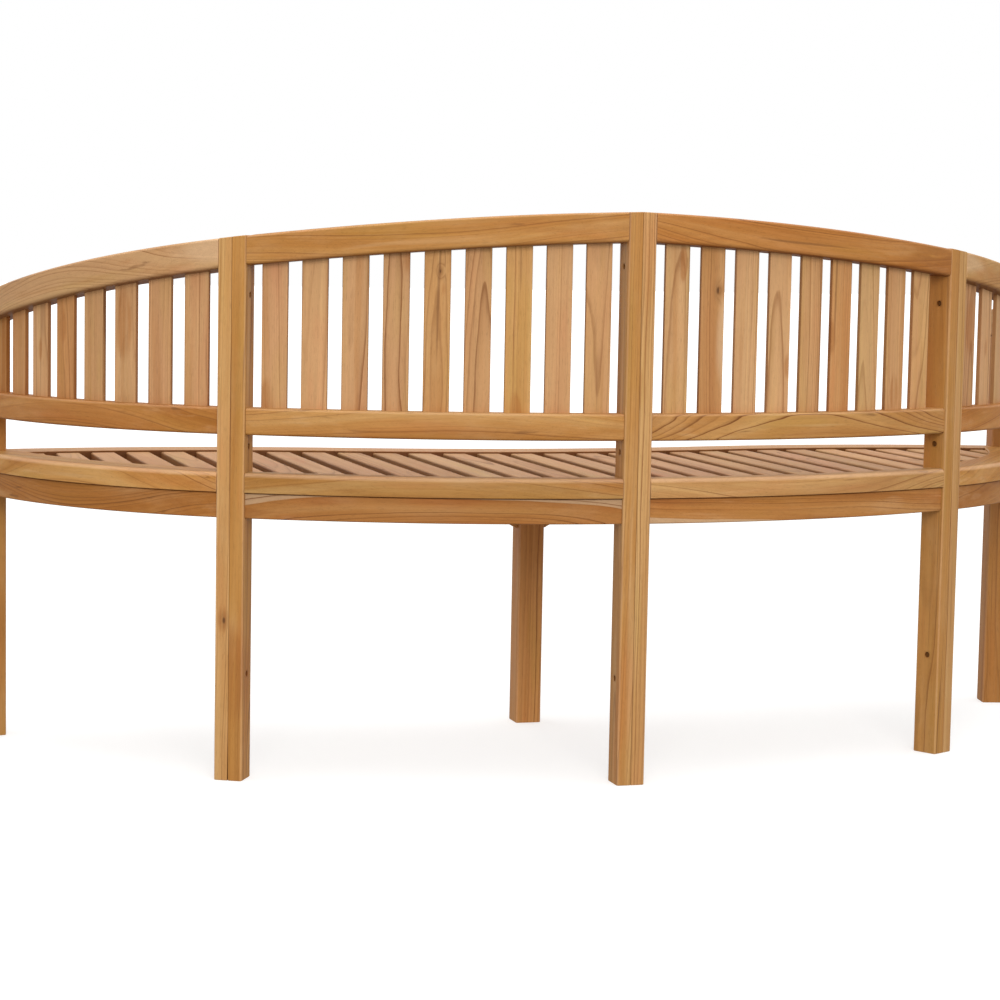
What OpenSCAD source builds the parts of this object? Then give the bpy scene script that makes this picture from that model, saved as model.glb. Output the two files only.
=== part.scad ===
// Curved three-seat garden bench of solid teak.
// The back is one long curve carried by three rear posts, the arms sweep on
// round to two end legs, and the slatted seat follows them like a banana.
// Millimetres, +Z up. The sitter faces -Y; left is +X. The origin lies on the
// ground under the middle of the overall box.

/* [Plan] */
// Radius of the rear face of the back, between the rear posts
back_radius = 1180; // [1170:5:1190]
// Angle of one back bay, from the centre post to a side post
bay_angle = 28.7; // [28.4:0.1:29]
// Radius of the outer face of the arm bays
arm_radius = 645; // [640:1:650]
// Heading of the end legs along the arm curve
leg_angle = 77.5; // [77.2:0.1:77.8]
// Heading at which the round nose of each arm is struck
nose_angle = 79.7; // [79.5:0.1:80]
// Depth of the seat at the centre, from the rear face to the front edge
seat_depth = 555; // [552:1:558]
// Radius of the hollow in the middle of the seat's front edge
hollow_radius = 1400; // [1380:5:1420]
// Radius of the bulge on each side of the seat's front edge
bulge_radius = 1200; // [1190:5:1210]
// Half width of the hollow, where it turns into the bulge
hollow_half = 310; // [300:5:320]

/* [Heights] */
// Top of the back at the centre post
centre_top = 830; // [826:1:834]
// Top of the back at the side posts
side_top = 783; // [780:1:784]
// Top of the arm over the end leg
arm_top = 684; // [682:1:686]
// Top of the seat's rim boards
seat_top = 448; // [444:1:452]
// Top of the seat slats, a little below the rim
slat_drop = 3; // [2:0.5:4]
// Underside of the lower back rail
lower_rail_z = 502; // [500:1:506]

/* [Stock] */
// Width and depth of the posts and legs
post_w = 42; // [41:0.5:43]
// Height of the top rail at the centre
rail_h = 45; // [43:1:47]
// Height of the arm over the end leg
arm_h = 47; // [45:1:49]
// Height of the lower back rail
lower_rail_h = 39; // [37:1:40]
// Thickness of the lower back rail
lower_rail_t = 34; // [32:1:35]
// Thickness of the rim boards of the seat
rim_t = 29; // [28:1:30]
// Height of the aprons under the rim boards
apron_h = 37; // [36:1:38]
// Thickness of the aprons
apron_t = 28; // [27:1:29]
// Width of the rear rim boards between the posts
rim_w = 30; // [29:1:31]
// Width of the rim boards in the arm bays
arm_rim_w = 60; // [58:1:62]
// Width of the front rim boards
front_rim_w = 65; // [63:1:67]
// Radius of the eased edges
ease = 4; // [3:0.5:5]

/* [Slats] */
// Width of the back slats
back_slat_w = 38; // [36:1:39]
// Thickness of the back slats
back_slat_t = 7; // [6:0.5:9]
// Angle from one back slat to the next in the right bay
right_slat_step = 2.79; // [2.76:0.01:2.82]
// Width of the seat slats
seat_slat_w = 38; // [36:1:39]
// Spacing of the seat slats
seat_pitch = 55.5; // [55:0.1:56]

/* [Hidden] */

$fn = 32;
arc_fn = 360;
elev_steps = 40;

hw = post_w / 2;
apron_top = seat_top - rim_t;
apron_z = apron_top - apron_h;
cleat_z = apron_top - 20;
slat_top = seat_top - slat_drop;

// Half of the overall depth: from the centre post's rear face to the arm's nose
c2_x = (back_radius - arm_radius) * sin(bay_angle);
c2_y = -back_radius + (back_radius - arm_radius) * cos(bay_angle);
nose_r = 28;
yo = -(c2_y + (arm_radius - hw) * cos(nose_angle) - nose_r) / 2;

// Centres of the back curve, the arm curve, the hollow and the bulge
c1 = [0, yo - back_radius];
c2 = [c2_x, yo + c2_y];
beta = asin(hollow_half / hollow_radius);
ca = [0, yo - seat_depth - hollow_radius];
cb = [(hollow_radius + bulge_radius) * sin(beta), ca[1] + (hollow_radius + bulge_radius) * cos(beta)];
p1 = [back_radius * sin(bay_angle), c1[1] + back_radius * cos(bay_angle)];

// Chord of the arm bay, along which its elevation is drawn
chord_angle = (bay_angle + leg_angle) / 2;
arm_chord = 2 * arm_radius * sin((leg_angle - bay_angle) / 2);
function chord_q(r, h) = r * sin(h - chord_angle) + arm_radius * sin(chord_angle - bay_angle);

// Elevation arcs [chord, height at start, height at end, rise over the chord]
top_arc = [p1[0], centre_top, side_top, 7.5];
low_arc = [p1[0], centre_top - rail_h, side_top - 44, 6.8];
arm_top_arc = [arm_chord, side_top + 1.2, arm_top, 7.1];
arm_low_arc = [arm_chord, side_top - 44, arm_top - arm_h, 6.1];
function arc_c(a) = sqrt(a[0] * a[0] + (a[1] - a[2]) * (a[1] - a[2]));
function arc_r(a) = arc_c(a) * arc_c(a) / (8 * a[3]) + a[3] / 2;
function arc_x(a) = a[0] / 2 - (arc_r(a) - a[3]) * (a[1] - a[2]) / arc_c(a);
function arc_z(a) = (a[1] + a[2]) / 2 - (arc_r(a) - a[3]) * a[0] / arc_c(a);
function arc_at(a, x) = arc_z(a) + sqrt(arc_r(a) * arc_r(a) - (x - arc_x(a)) * (x - arc_x(a)));

// Everything under an elevation arc
module under(a)
  rotate([90, 0, 0]) linear_extrude(1600, center = true)
    polygon(concat([[a[0] + 100, -50], [-60, -50]],
      [for (i = [0:elev_steps]) let (x = -60 + (a[0] + 160) * i / elev_steps) [x, arc_at(a, x)]]));
module under_arm(a) translate([p1[0], p1[1], 0]) rotate([0, 0, -chord_angle]) under(a);

// A place on a curve: x runs along it away from the centre, y points outward
module at(c, r, h) translate([c[0] + r * sin(h), c[1] + r * cos(h), 0]) rotate([0, 0, -h]) children();
module at_centre_post() at(c1, back_radius, 0) children();
module at_side_post() at(c1, back_radius, bay_angle) children();
module at_leg() at(c2, arm_radius, leg_angle) children();
module at_front_leg() translate([0, yo - seat_depth - 2 + post_w, 0]) children();

module block(x0, x1, y0, y1, z0, z1) translate([x0, y0, z0]) cube([x1 - x0, y1 - y0, z1 - z0]);

// Rectangle with its four corners eased
module eased(x0, x1, y0, y1, r) {
  translate([x0 + r, y0]) square([x1 - x0 - 2 * r, y1 - y0]);
  translate([x0, y0 + r]) square([x1 - x0, y1 - y0 - 2 * r]);
  for (x = [x0 + r, x1 - r], y = [y0 + r, y1 - r]) translate([x, y]) circle(r = r);
}

// Curved board between two headings, square or eased in section
module band(c, r0, r1, h0, h1, z0, z1)
  translate([c[0], c[1], 0]) rotate([0, 0, 90 - h1])
    rotate_extrude(angle = h1 - h0, $fn = arc_fn) translate([r0, z0]) square([r1 - r0, z1 - z0]);
module eased_band(c, r0, r1, h0, h1, z0, z1, r)
  translate([c[0], c[1], 0]) rotate([0, 0, 90 - h1])
    rotate_extrude(angle = h1 - h0, $fn = arc_fn) eased(r0, r1, z0, z1, r, $fn = 24);

// Curved board along the seat's front edge, set back from it by d0 to d1
module front_band(d0, d1, z0, z1) {
  band(ca, hollow_radius + d0, hollow_radius + d1, 0, beta, z0, z1);
  band(cb, bulge_radius - d1, bulge_radius - d0, 163, 180 + beta, z0, z1);
}
function front_y(x, d) = x < (hollow_radius + d) * sin(beta)
  ? ca[1] + sqrt((hollow_radius + d) * (hollow_radius + d) - x * x)
  : cb[1] - sqrt((bulge_radius - d) * (bulge_radius - d) - (x - cb[0]) * (x - cb[0]));

// Post of eased stock in its own place, rear face on the curve
module stick(z0, z1) translate([0, 0, z0]) linear_extrude(z1 - z0) eased(-hw, hw, -post_w, 0, 3, $fn = 24);

// Room that a post or leg takes out of the boards that meet it
module post_room() block(-hw, hw, -150, 50, -1, 900);
module centre_bay_room() { at_centre_post() post_room(); at_side_post() post_room(); }
module arm_bay_room() { at_side_post() post_room(); at_leg() block(-hw, 60, -150, 50, -1, 900); }
module leg_inner_room() at_leg() block(-120, 120, -post_w, 80, -1, 900);

// The arm rim and the front rim meet in a mitre, struck from the leg's inner
// rear corner to the point where their inner edges cross
mitre_leg = [c2[0] + (arm_radius - post_w) * sin(leg_angle) - hw * cos(leg_angle),
             c2[1] + (arm_radius - post_w) * cos(leg_angle) + hw * sin(leg_angle)];
rim_r = arm_radius - arm_rim_w;
edge_r = bulge_radius - front_rim_w;
cc = cb - c2;
cd = norm(cc);
ck = (rim_r * rim_r - edge_r * edge_r + cd * cd) / (2 * cd);
mitre_in = c2 + cc * ck / cd + [cc[1], -cc[0]] * sqrt(rim_r * rim_r - ck * ck) / cd;
mitre_a = atan2(mitre_leg[1] - mitre_in[1], mitre_leg[0] - mitre_in[0]);
module mitre_room(side) translate([mitre_in[0], mitre_in[1], 0]) rotate([0, 0, mitre_a])
  block(-200, norm(mitre_leg - mitre_in) + 20, side > 0 ? 0 : -300, side > 0 ? 300 : 0, -1, 900);

module mirrored() mirror([1, 0, 0]) children();
module both() { children(); mirrored() children(); }
module pin_x(x0, x1, y, z, r) translate([x0, y, z]) rotate([0, 90, 0]) cylinder(h = x1 - x0, r = r);
module pin_y(x, y0, y1, z, r) translate([x, y0, z]) rotate([-90, 0, 0]) cylinder(h = y1 - y0, r = r);
module pin_z(x, y, z0, z1, r) translate([x, y, z0]) cylinder(h = z1 - z0, r = r);

// ---- dowels and screws, +X side of the bench ----
module top_dowels_half() {
  for (y = [-13, -29]) {
    at_centre_post() pin_x(1, 51, y, centre_top - 22, 5);
    at_side_post() { pin_x(-37, -1, y, side_top - 22, 5); pin_x(1, 51, y, side_top - 28, 5); }
  }
}
module lower_dowels_half() {
  z = lower_rail_z + lower_rail_h / 2;
  for (y = [-12, -28]) {
    at_centre_post() pin_x(1, 51, y, z, 4);
    at_side_post() { pin_x(-51, -1, y, z, 4); pin_x(1, 51, y, z, 4); }
    at_leg() pin_x(-51, -1, y, z, 4);
  }
}
module arm_dowels_half() at_leg() for (y = [-12, -30]) pin_z(0, y, arm_top - arm_h - 30, arm_top - arm_h + 28, 5);
module rim_dowels_half() {
  z = seat_top - rim_t / 2;
  at_centre_post() pin_x(1, 51, -15, z, 4);
  at_side_post() { pin_x(-51, -1, -15, z, 4); pin_x(1, 51, -15, z, 4); }
  at_leg() { pin_x(-51, -1, -15, z, 4); pin_y(-9, -72, -24, z, 4); }
  at_front_leg() pin_z(10, -10, apron_top - 13, apron_top + 17, 4);
}
module apron_dowels_half() {
  for (z = [apron_z + 10, apron_z + 27]) {
    at_centre_post() pin_x(1, 51, -18, z, 4);
    at_side_post() { pin_x(-51, -1, -18, z, 4); pin_x(1, 51, -18, z, 4); }
    at_leg() { pin_x(-51, -1, -18, z, 4); pin_y(-9, -72, -24, z, 4); }
    at_front_leg() pin_x(1, 51, -hw, z, 4);
  }
}
bearer_x = 540;
module bearer_dowels_half() {
  z = apron_z + 18.5;
  at_centre_post() pin_y(8, -post_w - 25, -29, z, 3);
  at_front_leg() pin_y(8, -13, 25, z, 3);
  pin_y(bearer_x, p1[1] - 58, p1[1] - 20, z, 4);
  pin_y(bearer_x, front_y(bearer_x, 5 + apron_t) - 12, front_y(bearer_x, 5 + apron_t) + 25, apron_z + 8.5, 4);
}

// Seat slats are counted outward from the middle gap
function slat_x(k) = seat_pitch * (k + 0.5);
module screw_up(x, y, z0, len) { pin_z(x, y, z0, z0 + 3, 4); pin_z(x, y, z0, z0 + len, 2); }
module slat_screws_half() {
  for (k = [0:13]) screw_up(slat_x(k), front_y(slat_x(k), 78), cleat_z, 36);
  screw_up(slat_x(14) - 8, front_y(slat_x(14) - 8, 78), cleat_z, 36);
  for (k = [0:9]) let (x = min(slat_x(k), 515))
    screw_up(x, c1[1] + sqrt(pow(back_radius - 44, 2) - x * x), cleat_z, 36);
  for (k = [10:13]) let (x = slat_x(k))
    screw_up(x, c2[1] + sqrt(pow(arm_radius - 70, 2) - pow(x - c2[0], 2)), cleat_z, 36);
}
module cleat_screws_half() {
  for (j = [1:4]) at(c1, back_radius, bay_angle * j / 5 + 0.9) {
    pin_y(0, -57, -54, cleat_z + 10, 4);
    pin_y(0, -57, -16, cleat_z + 10, 2);
  }
  for (h = [37, 46, 55, 64]) at(c2, arm_radius, h) screw_up(0, -46, cleat_z, 34);
  for (x = [60, 180, 300, 420, 620, 760]) screw_up(x, front_y(x, 45), cleat_z, 34);
}

// ---- solids, +X side ----
// The slats of the left bay share it equally; the right bay's stand a little closer
function slat_heading(j, side) = side > 0 ? bay_angle * j / 10 : 0.2 + right_slat_step * j;
module back_slat(h) at(c1, back_radius, h)
  block(-back_slat_w / 2, back_slat_w / 2, -hw - back_slat_t / 2, -hw + back_slat_t / 2,
    lower_rail_z + lower_rail_h - 10,
    arc_at(low_arc, (back_radius - hw) * sin(h)) + 12);
module bay_slats(side) for (j = [1:9]) back_slat(slat_heading(j, side));
arm_step = (leg_angle - bay_angle) / 9;
module arm_slat(j) at(c2, arm_radius, bay_angle + arm_step * j)
  block(-back_slat_w / 2, back_slat_w / 2, -hw - back_slat_t / 2, -hw + back_slat_t / 2,
    lower_rail_z + lower_rail_h - 10,
    arc_at(arm_low_arc, chord_q(arm_radius - hw, bay_angle + arm_step * j)) + 12);
module arm_bay_slats() for (j = [1:8]) arm_slat(j);

module post_half(x0, x1, top) difference() {
  intersection() { stick(0, top); block(x0, x1, -60, 20, -1, 900); }
  children();
}
module centre_half() difference() {
  intersection() {
    at_centre_post() stick(0, 900);
    at_centre_post() block(0, 40, -60, 20, -1, 900);
    under(top_arc);
  }
  top_dowels_half(); lower_dowels_half(); rim_dowels_half(); apron_dowels_half(); bearer_dowels_half();
  post_pins_all();
}
module under_top(outer) { if (outer) under_arm(arm_top_arc); else under(top_arc); }
module side_half(x0, x1) difference() {
  intersection() {
    at_side_post() stick(0, 900);
    at_side_post() block(x0, x1, -60, 20, -1, 900);
    under_top(x0 >= 0);
  }
  top_dowels_half(); lower_dowels_half(); rim_dowels_half(); apron_dowels_half(); bearer_dowels_half();
  post_pins_all();
}
module end_leg() difference() {
  intersection() { at_leg() stick(0, 900); under_arm(arm_low_arc); }
  lower_dowels_half(); arm_dowels_half(); rim_dowels_half(); apron_dowels_half();
}
module front_leg() difference() {
  at_front_leg() stick(0, apron_top);
  both() { rim_dowels_half(); apron_dowels_half(); bearer_dowels_half(); bracket_screws_half(); }
}

module top_rail(side) difference() {
  intersection() { band(c1, back_radius - post_w, back_radius, 0, bay_angle, 700, 900); under(top_arc); }
  under(low_arc);
  centre_bay_room();
  bay_slats(side);
  top_dowels_half();
}
module arm_rail() difference() {
  intersection() {
    band(c2, arm_radius - post_w, arm_radius, bay_angle, nose_angle + 4, 560, 850);
    under_arm(arm_top_arc);
  }
  under_arm(arm_low_arc);
  at(c2, arm_radius - hw, nose_angle) difference() {
    block(0, 90, -60, 60, 500, 900);
    translate([0, 0, 450]) cylinder(r = nose_r, h = 500, $fn = 96);
  }
  at_side_post() post_room();
  arm_bay_slats();
  top_dowels_half();
  arm_dowels_half();
}
module lower_rail(side) difference() {
  eased_band(c1, back_radius - 3 - lower_rail_t, back_radius - 3, 0, bay_angle, lower_rail_z, lower_rail_z + lower_rail_h, ease);
  centre_bay_room();
  bay_slats(side);
  lower_dowels_half();
}
module arm_lower_rail() difference() {
  eased_band(c2, arm_radius - 3 - lower_rail_t, arm_radius - 3, bay_angle, leg_angle, lower_rail_z, lower_rail_z + lower_rail_h, ease);
  arm_bay_room();
  arm_bay_slats();
  lower_dowels_half();
}
module rear_rim() difference() {
  eased_band(c1, back_radius - rim_w, back_radius, 0, bay_angle, apron_top, seat_top, ease);
  centre_bay_room();
  rim_dowels_half();
}
module arm_rim() difference() {
  eased_band(c2, arm_radius - arm_rim_w, arm_radius, bay_angle, leg_angle, apron_top, seat_top, ease);
  at_side_post() post_room();
  at_leg() block(-hw, 60, -post_w, 50, -1, 900);
  mitre_room(-1);
  rim_dowels_half();
  cleat_screws_half();
}
module front_rim() difference() {
  front_band(0, front_rim_w, apron_top, seat_top);
  leg_inner_room();
  mitre_room(1);
  rim_dowels_half();
  cleat_screws_half();
}
module rear_apron() difference() {
  band(c1, back_radius - 4 - apron_t, back_radius - 4, 0, bay_angle, apron_z, apron_top);
  centre_bay_room();
  apron_dowels_half();
  cleat_screws_half();
}
module arm_apron() difference() {
  band(c2, arm_radius - 4 - apron_t, arm_radius - 4, bay_angle, leg_angle, apron_z, apron_top);
  arm_bay_room();
  apron_dowels_half();
}
module front_apron() difference() {
  front_band(5, 5 + apron_t, apron_z, apron_top);
  leg_inner_room();
  at_front_leg() block(-60, hw, -80, 60, -1, 900);
  apron_dowels_half();
  bearer_dowels_half();
  bracket_screws_half();
}
module rear_cleat() difference() {
  band(c1, back_radius - 57, back_radius - 4 - apron_t, 0, bay_angle, cleat_z, apron_top);
  centre_bay_room();
  block(bearer_x - 14, 700, -600, 600, 300, 500);
  slat_screws_half();
  cleat_screws_half();
}
module arm_cleat() difference() {
  band(c2, arm_radius - 82, arm_radius - 4 - apron_t, bay_angle, leg_angle, cleat_z, apron_top);
  at_side_post() post_room();
  block(300, bearer_x + 14, -600, 600, 300, 500);
  front_band(-60, 90, cleat_z - 10, apron_top + 10);
  slat_screws_half();
  cleat_screws_half();
}
module front_cleat() difference() {
  intersection() {
    front_band(5 + apron_t, 90, cleat_z, apron_top);
    union() {
      translate([0, -400, 0]) block(-10, 700, -400, 700, 300, 500);
      translate([c2[0], c2[1], 300]) cylinder(r = arm_radius - 4 - apron_t, h = 200, $fn = arc_fn);
    }
  }
  at_front_leg() block(-60, hw, -80, 0, -1, 900);
  block(-60, 14, -600, 600, 300, 500);
  at_leg() block(-hw, 120, -post_w, 80, -1, 900);
  slat_screws_half();
  cleat_screws_half();
}
module side_bearer_body() difference() {
  block(bearer_x - 14, bearer_x + 14, -yo, yo, apron_z, apron_top);
  at_side_post() block(-200, 200, -post_w, 300, -1, 900);
  front_band(-80, 5 + apron_t, apron_z - 10, apron_top + 10);
}
module side_bearer() difference() {
  side_bearer_body();
  front_band(5 + apron_t, 90, cleat_z, apron_top + 10);
  bearer_dowels_half();
}
module middle_bearer() difference() {
  block(-14, 14, yo - seat_depth - 2 + post_w, yo - post_w, apron_z, apron_top);
  both() bearer_dowels_half();
}

// Triangular brackets between the centre front leg and the front aprons
bracket_w = 100;
bracket_h = 61;
module bracket_screws_half() at_front_leg() {
  pin_x(hw - 15, hw + 38, -hw + 6, apron_z - 31.5, 2);
  pin_x(hw + 35, hw + 38, -hw + 6, apron_z - 31.5, 4);
  pin_z(hw + 46.5, -hw - 6, apron_z - 26, apron_z + 15, 2);
  pin_z(hw + 46.5, -hw - 6, apron_z - 26, apron_z - 23, 4);
}
module leg_bracket() difference() {
  at_front_leg() translate([0, -hw + 12, 0]) rotate([90, 0, 0]) linear_extrude(24)
    polygon([[hw, apron_z], [hw + bracket_w, apron_z], [hw + bracket_w, apron_z - 8], [hw + 3, apron_z - bracket_h], [hw, apron_z - bracket_h]]);
  bracket_screws_half();
  at_front_leg() {
    pin_x(hw + 38, hw + 80, -hw + 6, apron_z - 31.5, 4);
    pin_z(hw + 46.5, -hw - 6, apron_z - 60, apron_z - 26, 4);
  }
}

// Seat slats run from front to back and end on the curve of the rim boards
module seat_slat(k) block(slat_x(k) - seat_slat_w / 2, slat_x(k) + seat_slat_w / 2, -yo, yo, apron_top, slat_top);
module seat_slats_half(k0, k1, c, r) difference() {
  intersection() {
    union() for (k = [k0:k1]) seat_slat(k);
    translate([c[0], c[1], 300]) cylinder(r = r, h = 200, $fn = arc_fn);
  }
  front_band(-150, front_rim_w + 1.5, apron_top - 10, seat_top);
  at_centre_post() block(-hw - 1.5, hw + 1.5, -post_w - 1.5, 50, -1, 900);
  at_side_post() block(-hw - 1.5, hw + 1.5, -post_w - 1.5, 50, -1, 900);
  slat_screws_half();
}

// Wooden pins through both halves of each rear post
module post_pins_half() at_side_post() for (z = [155, 485, 702]) pin_x(-hw, hw, -hw, z, 4);
module post_pins_all() {
  at_centre_post() for (z = [155, 485, 752]) pin_x(-hw, hw, -hw, z, 4);
  both() post_pins_half();
}

// ---- nodes ----
module centre_rear_post_left_half() { color("peru") centre_half(); }
module centre_rear_post_right_half() { color("burlywood") mirrored() centre_half(); }
module left_rear_post_inner_half() { color("peru") side_half(-40, 0); }
module left_rear_post_outer_half() { color("burlywood") side_half(0, 40); }
module right_rear_post_inner_half() { color("burlywood") mirrored() side_half(-40, 0); }
module right_rear_post_outer_half() { color("peru") mirrored() side_half(0, 40); }
module centre_front_leg() { color("sienna") front_leg(); }
module left_front_leg() { color("peru") end_leg(); }
module right_front_leg() { color("peru") mirrored() end_leg(); }
module left_top_rail() { color("sandybrown") top_rail(1); }
module right_top_rail() { color("sandybrown") mirrored() top_rail(-1); }
module left_arm_rail() { color("peru") arm_rail(); }
module right_arm_rail() { color("peru") mirrored() arm_rail(); }
module left_lower_rail() { color("sandybrown") lower_rail(1); }
module right_lower_rail() { color("sandybrown") mirrored() lower_rail(-1); }
module left_arm_lower_rail() { color("peru") arm_lower_rail(); }
module right_arm_lower_rail() { color("peru") mirrored() arm_lower_rail(); }
module left_back_slats() { color("burlywood") bay_slats(1); }
module right_back_slats() { color("burlywood") mirrored() bay_slats(-1); }
module left_arm_slats() { color("burlywood") arm_bay_slats(); }
module right_arm_slats() { color("burlywood") mirrored() arm_bay_slats(); }
module left_rear_rim() { color("tan") rear_rim(); }
module right_rear_rim() { color("tan") mirrored() rear_rim(); }
module left_arm_rim() { color("burlywood") arm_rim(); }
module right_arm_rim() { color("burlywood") mirrored() arm_rim(); }
module left_front_rim() { color("tan") front_rim(); }
module right_front_rim() { color("tan") mirrored() front_rim(); }
module left_rear_apron() { color("peru") rear_apron(); }
module right_rear_apron() { color("peru") mirrored() rear_apron(); }
module left_arm_apron() { color("sandybrown") arm_apron(); }
module right_arm_apron() { color("sandybrown") mirrored() arm_apron(); }
module left_front_apron() { color("peru") front_apron(); }
module right_front_apron() { color("peru") mirrored() front_apron(); }
module left_rear_cleat() { color("sienna") rear_cleat(); }
module right_rear_cleat() { color("sienna") mirrored() rear_cleat(); }
module left_arm_cleat() { color("sienna") arm_cleat(); }
module right_arm_cleat() { color("sienna") mirrored() arm_cleat(); }
module left_front_cleat() { color("sienna") front_cleat(); }
module right_front_cleat() { color("sienna") mirrored() front_cleat(); }
module centre_bearer() { color("sienna") middle_bearer(); }
module left_bearer() { color("sienna") side_bearer(); }
module right_bearer() { color("sienna") mirrored() side_bearer(); }
module left_leg_bracket() { color("saddlebrown") leg_bracket(); }
module right_leg_bracket() { color("saddlebrown") mirrored() leg_bracket(); }
module left_seat_slats() { color("tan") seat_slats_half(0, 9, c1, back_radius - rim_w); }
module right_seat_slats() { color("tan") mirrored() seat_slats_half(0, 9, c1, back_radius - rim_w); }
module left_end_seat_slats() { color("tan") seat_slats_half(10, 14, c2, arm_radius - arm_rim_w); }
module right_end_seat_slats() { color("tan") mirrored() seat_slats_half(10, 14, c2, arm_radius - arm_rim_w); }
module top_rail_dowels() { color("wheat") both() top_dowels_half(); }
module lower_rail_dowels() { color("wheat") both() lower_dowels_half(); }
module arm_leg_dowels() { color("wheat") both() arm_dowels_half(); }
module rim_dowels() { color("wheat") both() rim_dowels_half(); }
module apron_dowels() { color("wheat") both() apron_dowels_half(); }
module bearer_dowels() { color("wheat") both() bearer_dowels_half(); }
module post_pins() { color("saddlebrown") post_pins_all(); }
module slat_screws() { color("silver") both() slat_screws_half(); }
module cleat_screws() { color("silver") both() cleat_screws_half(); }
module bracket_screws() { color("silver") both() bracket_screws_half(); }

centre_rear_post_left_half();
centre_rear_post_right_half();
left_rear_post_inner_half();
left_rear_post_outer_half();
right_rear_post_inner_half();
right_rear_post_outer_half();
centre_front_leg();
left_front_leg();
right_front_leg();
left_top_rail();
right_top_rail();
left_arm_rail();
right_arm_rail();
left_lower_rail();
right_lower_rail();
left_arm_lower_rail();
right_arm_lower_rail();
left_back_slats();
right_back_slats();
left_arm_slats();
right_arm_slats();
left_rear_rim();
right_rear_rim();
left_arm_rim();
right_arm_rim();
left_front_rim();
right_front_rim();
left_rear_apron();
right_rear_apron();
left_arm_apron();
right_arm_apron();
left_front_apron();
right_front_apron();
left_rear_cleat();
right_rear_cleat();
left_arm_cleat();
right_arm_cleat();
left_front_cleat();
right_front_cleat();
centre_bearer();
left_bearer();
right_bearer();
left_leg_bracket();
right_leg_bracket();
left_seat_slats();
right_seat_slats();
left_end_seat_slats();
right_end_seat_slats();
top_rail_dowels();
lower_rail_dowels();
arm_leg_dowels();
rim_dowels();
apron_dowels();
bearer_dowels();
post_pins();
slat_screws();
cleat_screws();
bracket_screws();
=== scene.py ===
"""Curved three-seat garden bench of solid teak, seen from behind.

Every board is its own clean mesh with eased edges. Each one carries its own
wood coordinates, so that the growth rings run through it as in a real board.
Lengths in the geometry are millimetres; meshes are made in metres.
"""
import math
import random

import bpy
import numpy as np
from mathutils import Matrix, Vector


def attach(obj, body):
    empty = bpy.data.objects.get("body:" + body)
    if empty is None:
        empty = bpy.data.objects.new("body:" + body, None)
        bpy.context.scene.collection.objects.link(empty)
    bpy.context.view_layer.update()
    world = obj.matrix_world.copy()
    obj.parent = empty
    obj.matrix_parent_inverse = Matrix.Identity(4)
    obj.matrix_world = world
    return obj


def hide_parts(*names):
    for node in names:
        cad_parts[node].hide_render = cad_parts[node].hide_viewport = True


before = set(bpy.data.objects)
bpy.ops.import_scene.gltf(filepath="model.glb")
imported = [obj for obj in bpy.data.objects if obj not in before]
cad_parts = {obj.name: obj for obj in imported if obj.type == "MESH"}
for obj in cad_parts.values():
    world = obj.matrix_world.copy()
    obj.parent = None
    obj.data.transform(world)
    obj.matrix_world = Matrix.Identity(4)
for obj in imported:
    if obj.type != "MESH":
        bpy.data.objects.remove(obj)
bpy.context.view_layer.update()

# ------------------------------------------------------------------ dimensions
BACK_R, BAY, ARM_R, LEG_A, NOSE_A, NOSE_R = 1180.0, 28.7, 645.0, 77.5, 79.7, 28.0
SEAT_D, HOLLOW_R, BULGE_R, HOLLOW_W = 555.0, 1400.0, 1200.0, 310.0
CENTRE_TOP, SIDE_TOP, SEAT_TOP = 830.0, 783.0, 448.0
SLAT_TOP, RAIL_Z, RAIL_H, RAIL_T = 445.0, 502.0, 39.0, 34.0
ARM_TOP, ARM_H = 684.0, 47.0
HW, POST = 21.0, 42.0
APRON_TOP, APRON_Z, CLEAT_Z = 419.0, 382.0, 399.0
PITCH, SLAT_W, BSLAT_W, BSLAT_T = 55.5, 38.0, 38.0, 7.0
RIM_W, ARM_RIM_W, FRONT_RIM_W, APRON_T = 30.0, 60.0, 65.0, 28.0

rad = math.radians


def direction(h):
    """Unit vector at heading h in degrees, from +Y towards +X."""
    return np.array([math.sin(rad(h)), math.cos(rad(h))])


def along(h):
    return np.array([math.cos(rad(h)), -math.sin(rad(h))])


_c2x = (BACK_R - ARM_R) * math.sin(rad(BAY))
_c2y = -BACK_R + (BACK_R - ARM_R) * math.cos(rad(BAY))
YO = -(_c2y + (ARM_R - HW) * math.cos(rad(NOSE_A)) - NOSE_R) / 2
C1 = np.array([0.0, YO - BACK_R])
C2 = np.array([_c2x, YO + _c2y])
BETA = math.degrees(math.asin(HOLLOW_W / HOLLOW_R))
CA = np.array([0.0, YO - SEAT_D - HOLLOW_R])
CB = CA + (HOLLOW_R + BULGE_R) * direction(BETA)
P1 = C1 + BACK_R * direction(BAY)
LEG_P = C2 + ARM_R * direction(LEG_A)
FRONT_Y0 = YO - SEAT_D - 2 + POST

CHORD_A = (BAY + LEG_A) / 2
ARM_CHORD = 2 * ARM_R * math.sin(rad((LEG_A - BAY) / 2))


class Arc:
    """Elevation arc over a chord: heights at both ends and the rise between."""

    def __init__(self, chord, z0, z1, rise):
        c = math.hypot(chord, z0 - z1)
        self.r = c * c / (8 * rise) + rise / 2
        self.x = chord / 2 - (self.r - rise) * (z0 - z1) / c
        self.z = (z0 + z1) / 2 - (self.r - rise) * chord / c

    def at(self, x):
        return self.z + math.sqrt(self.r * self.r - (x - self.x) ** 2)


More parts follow.
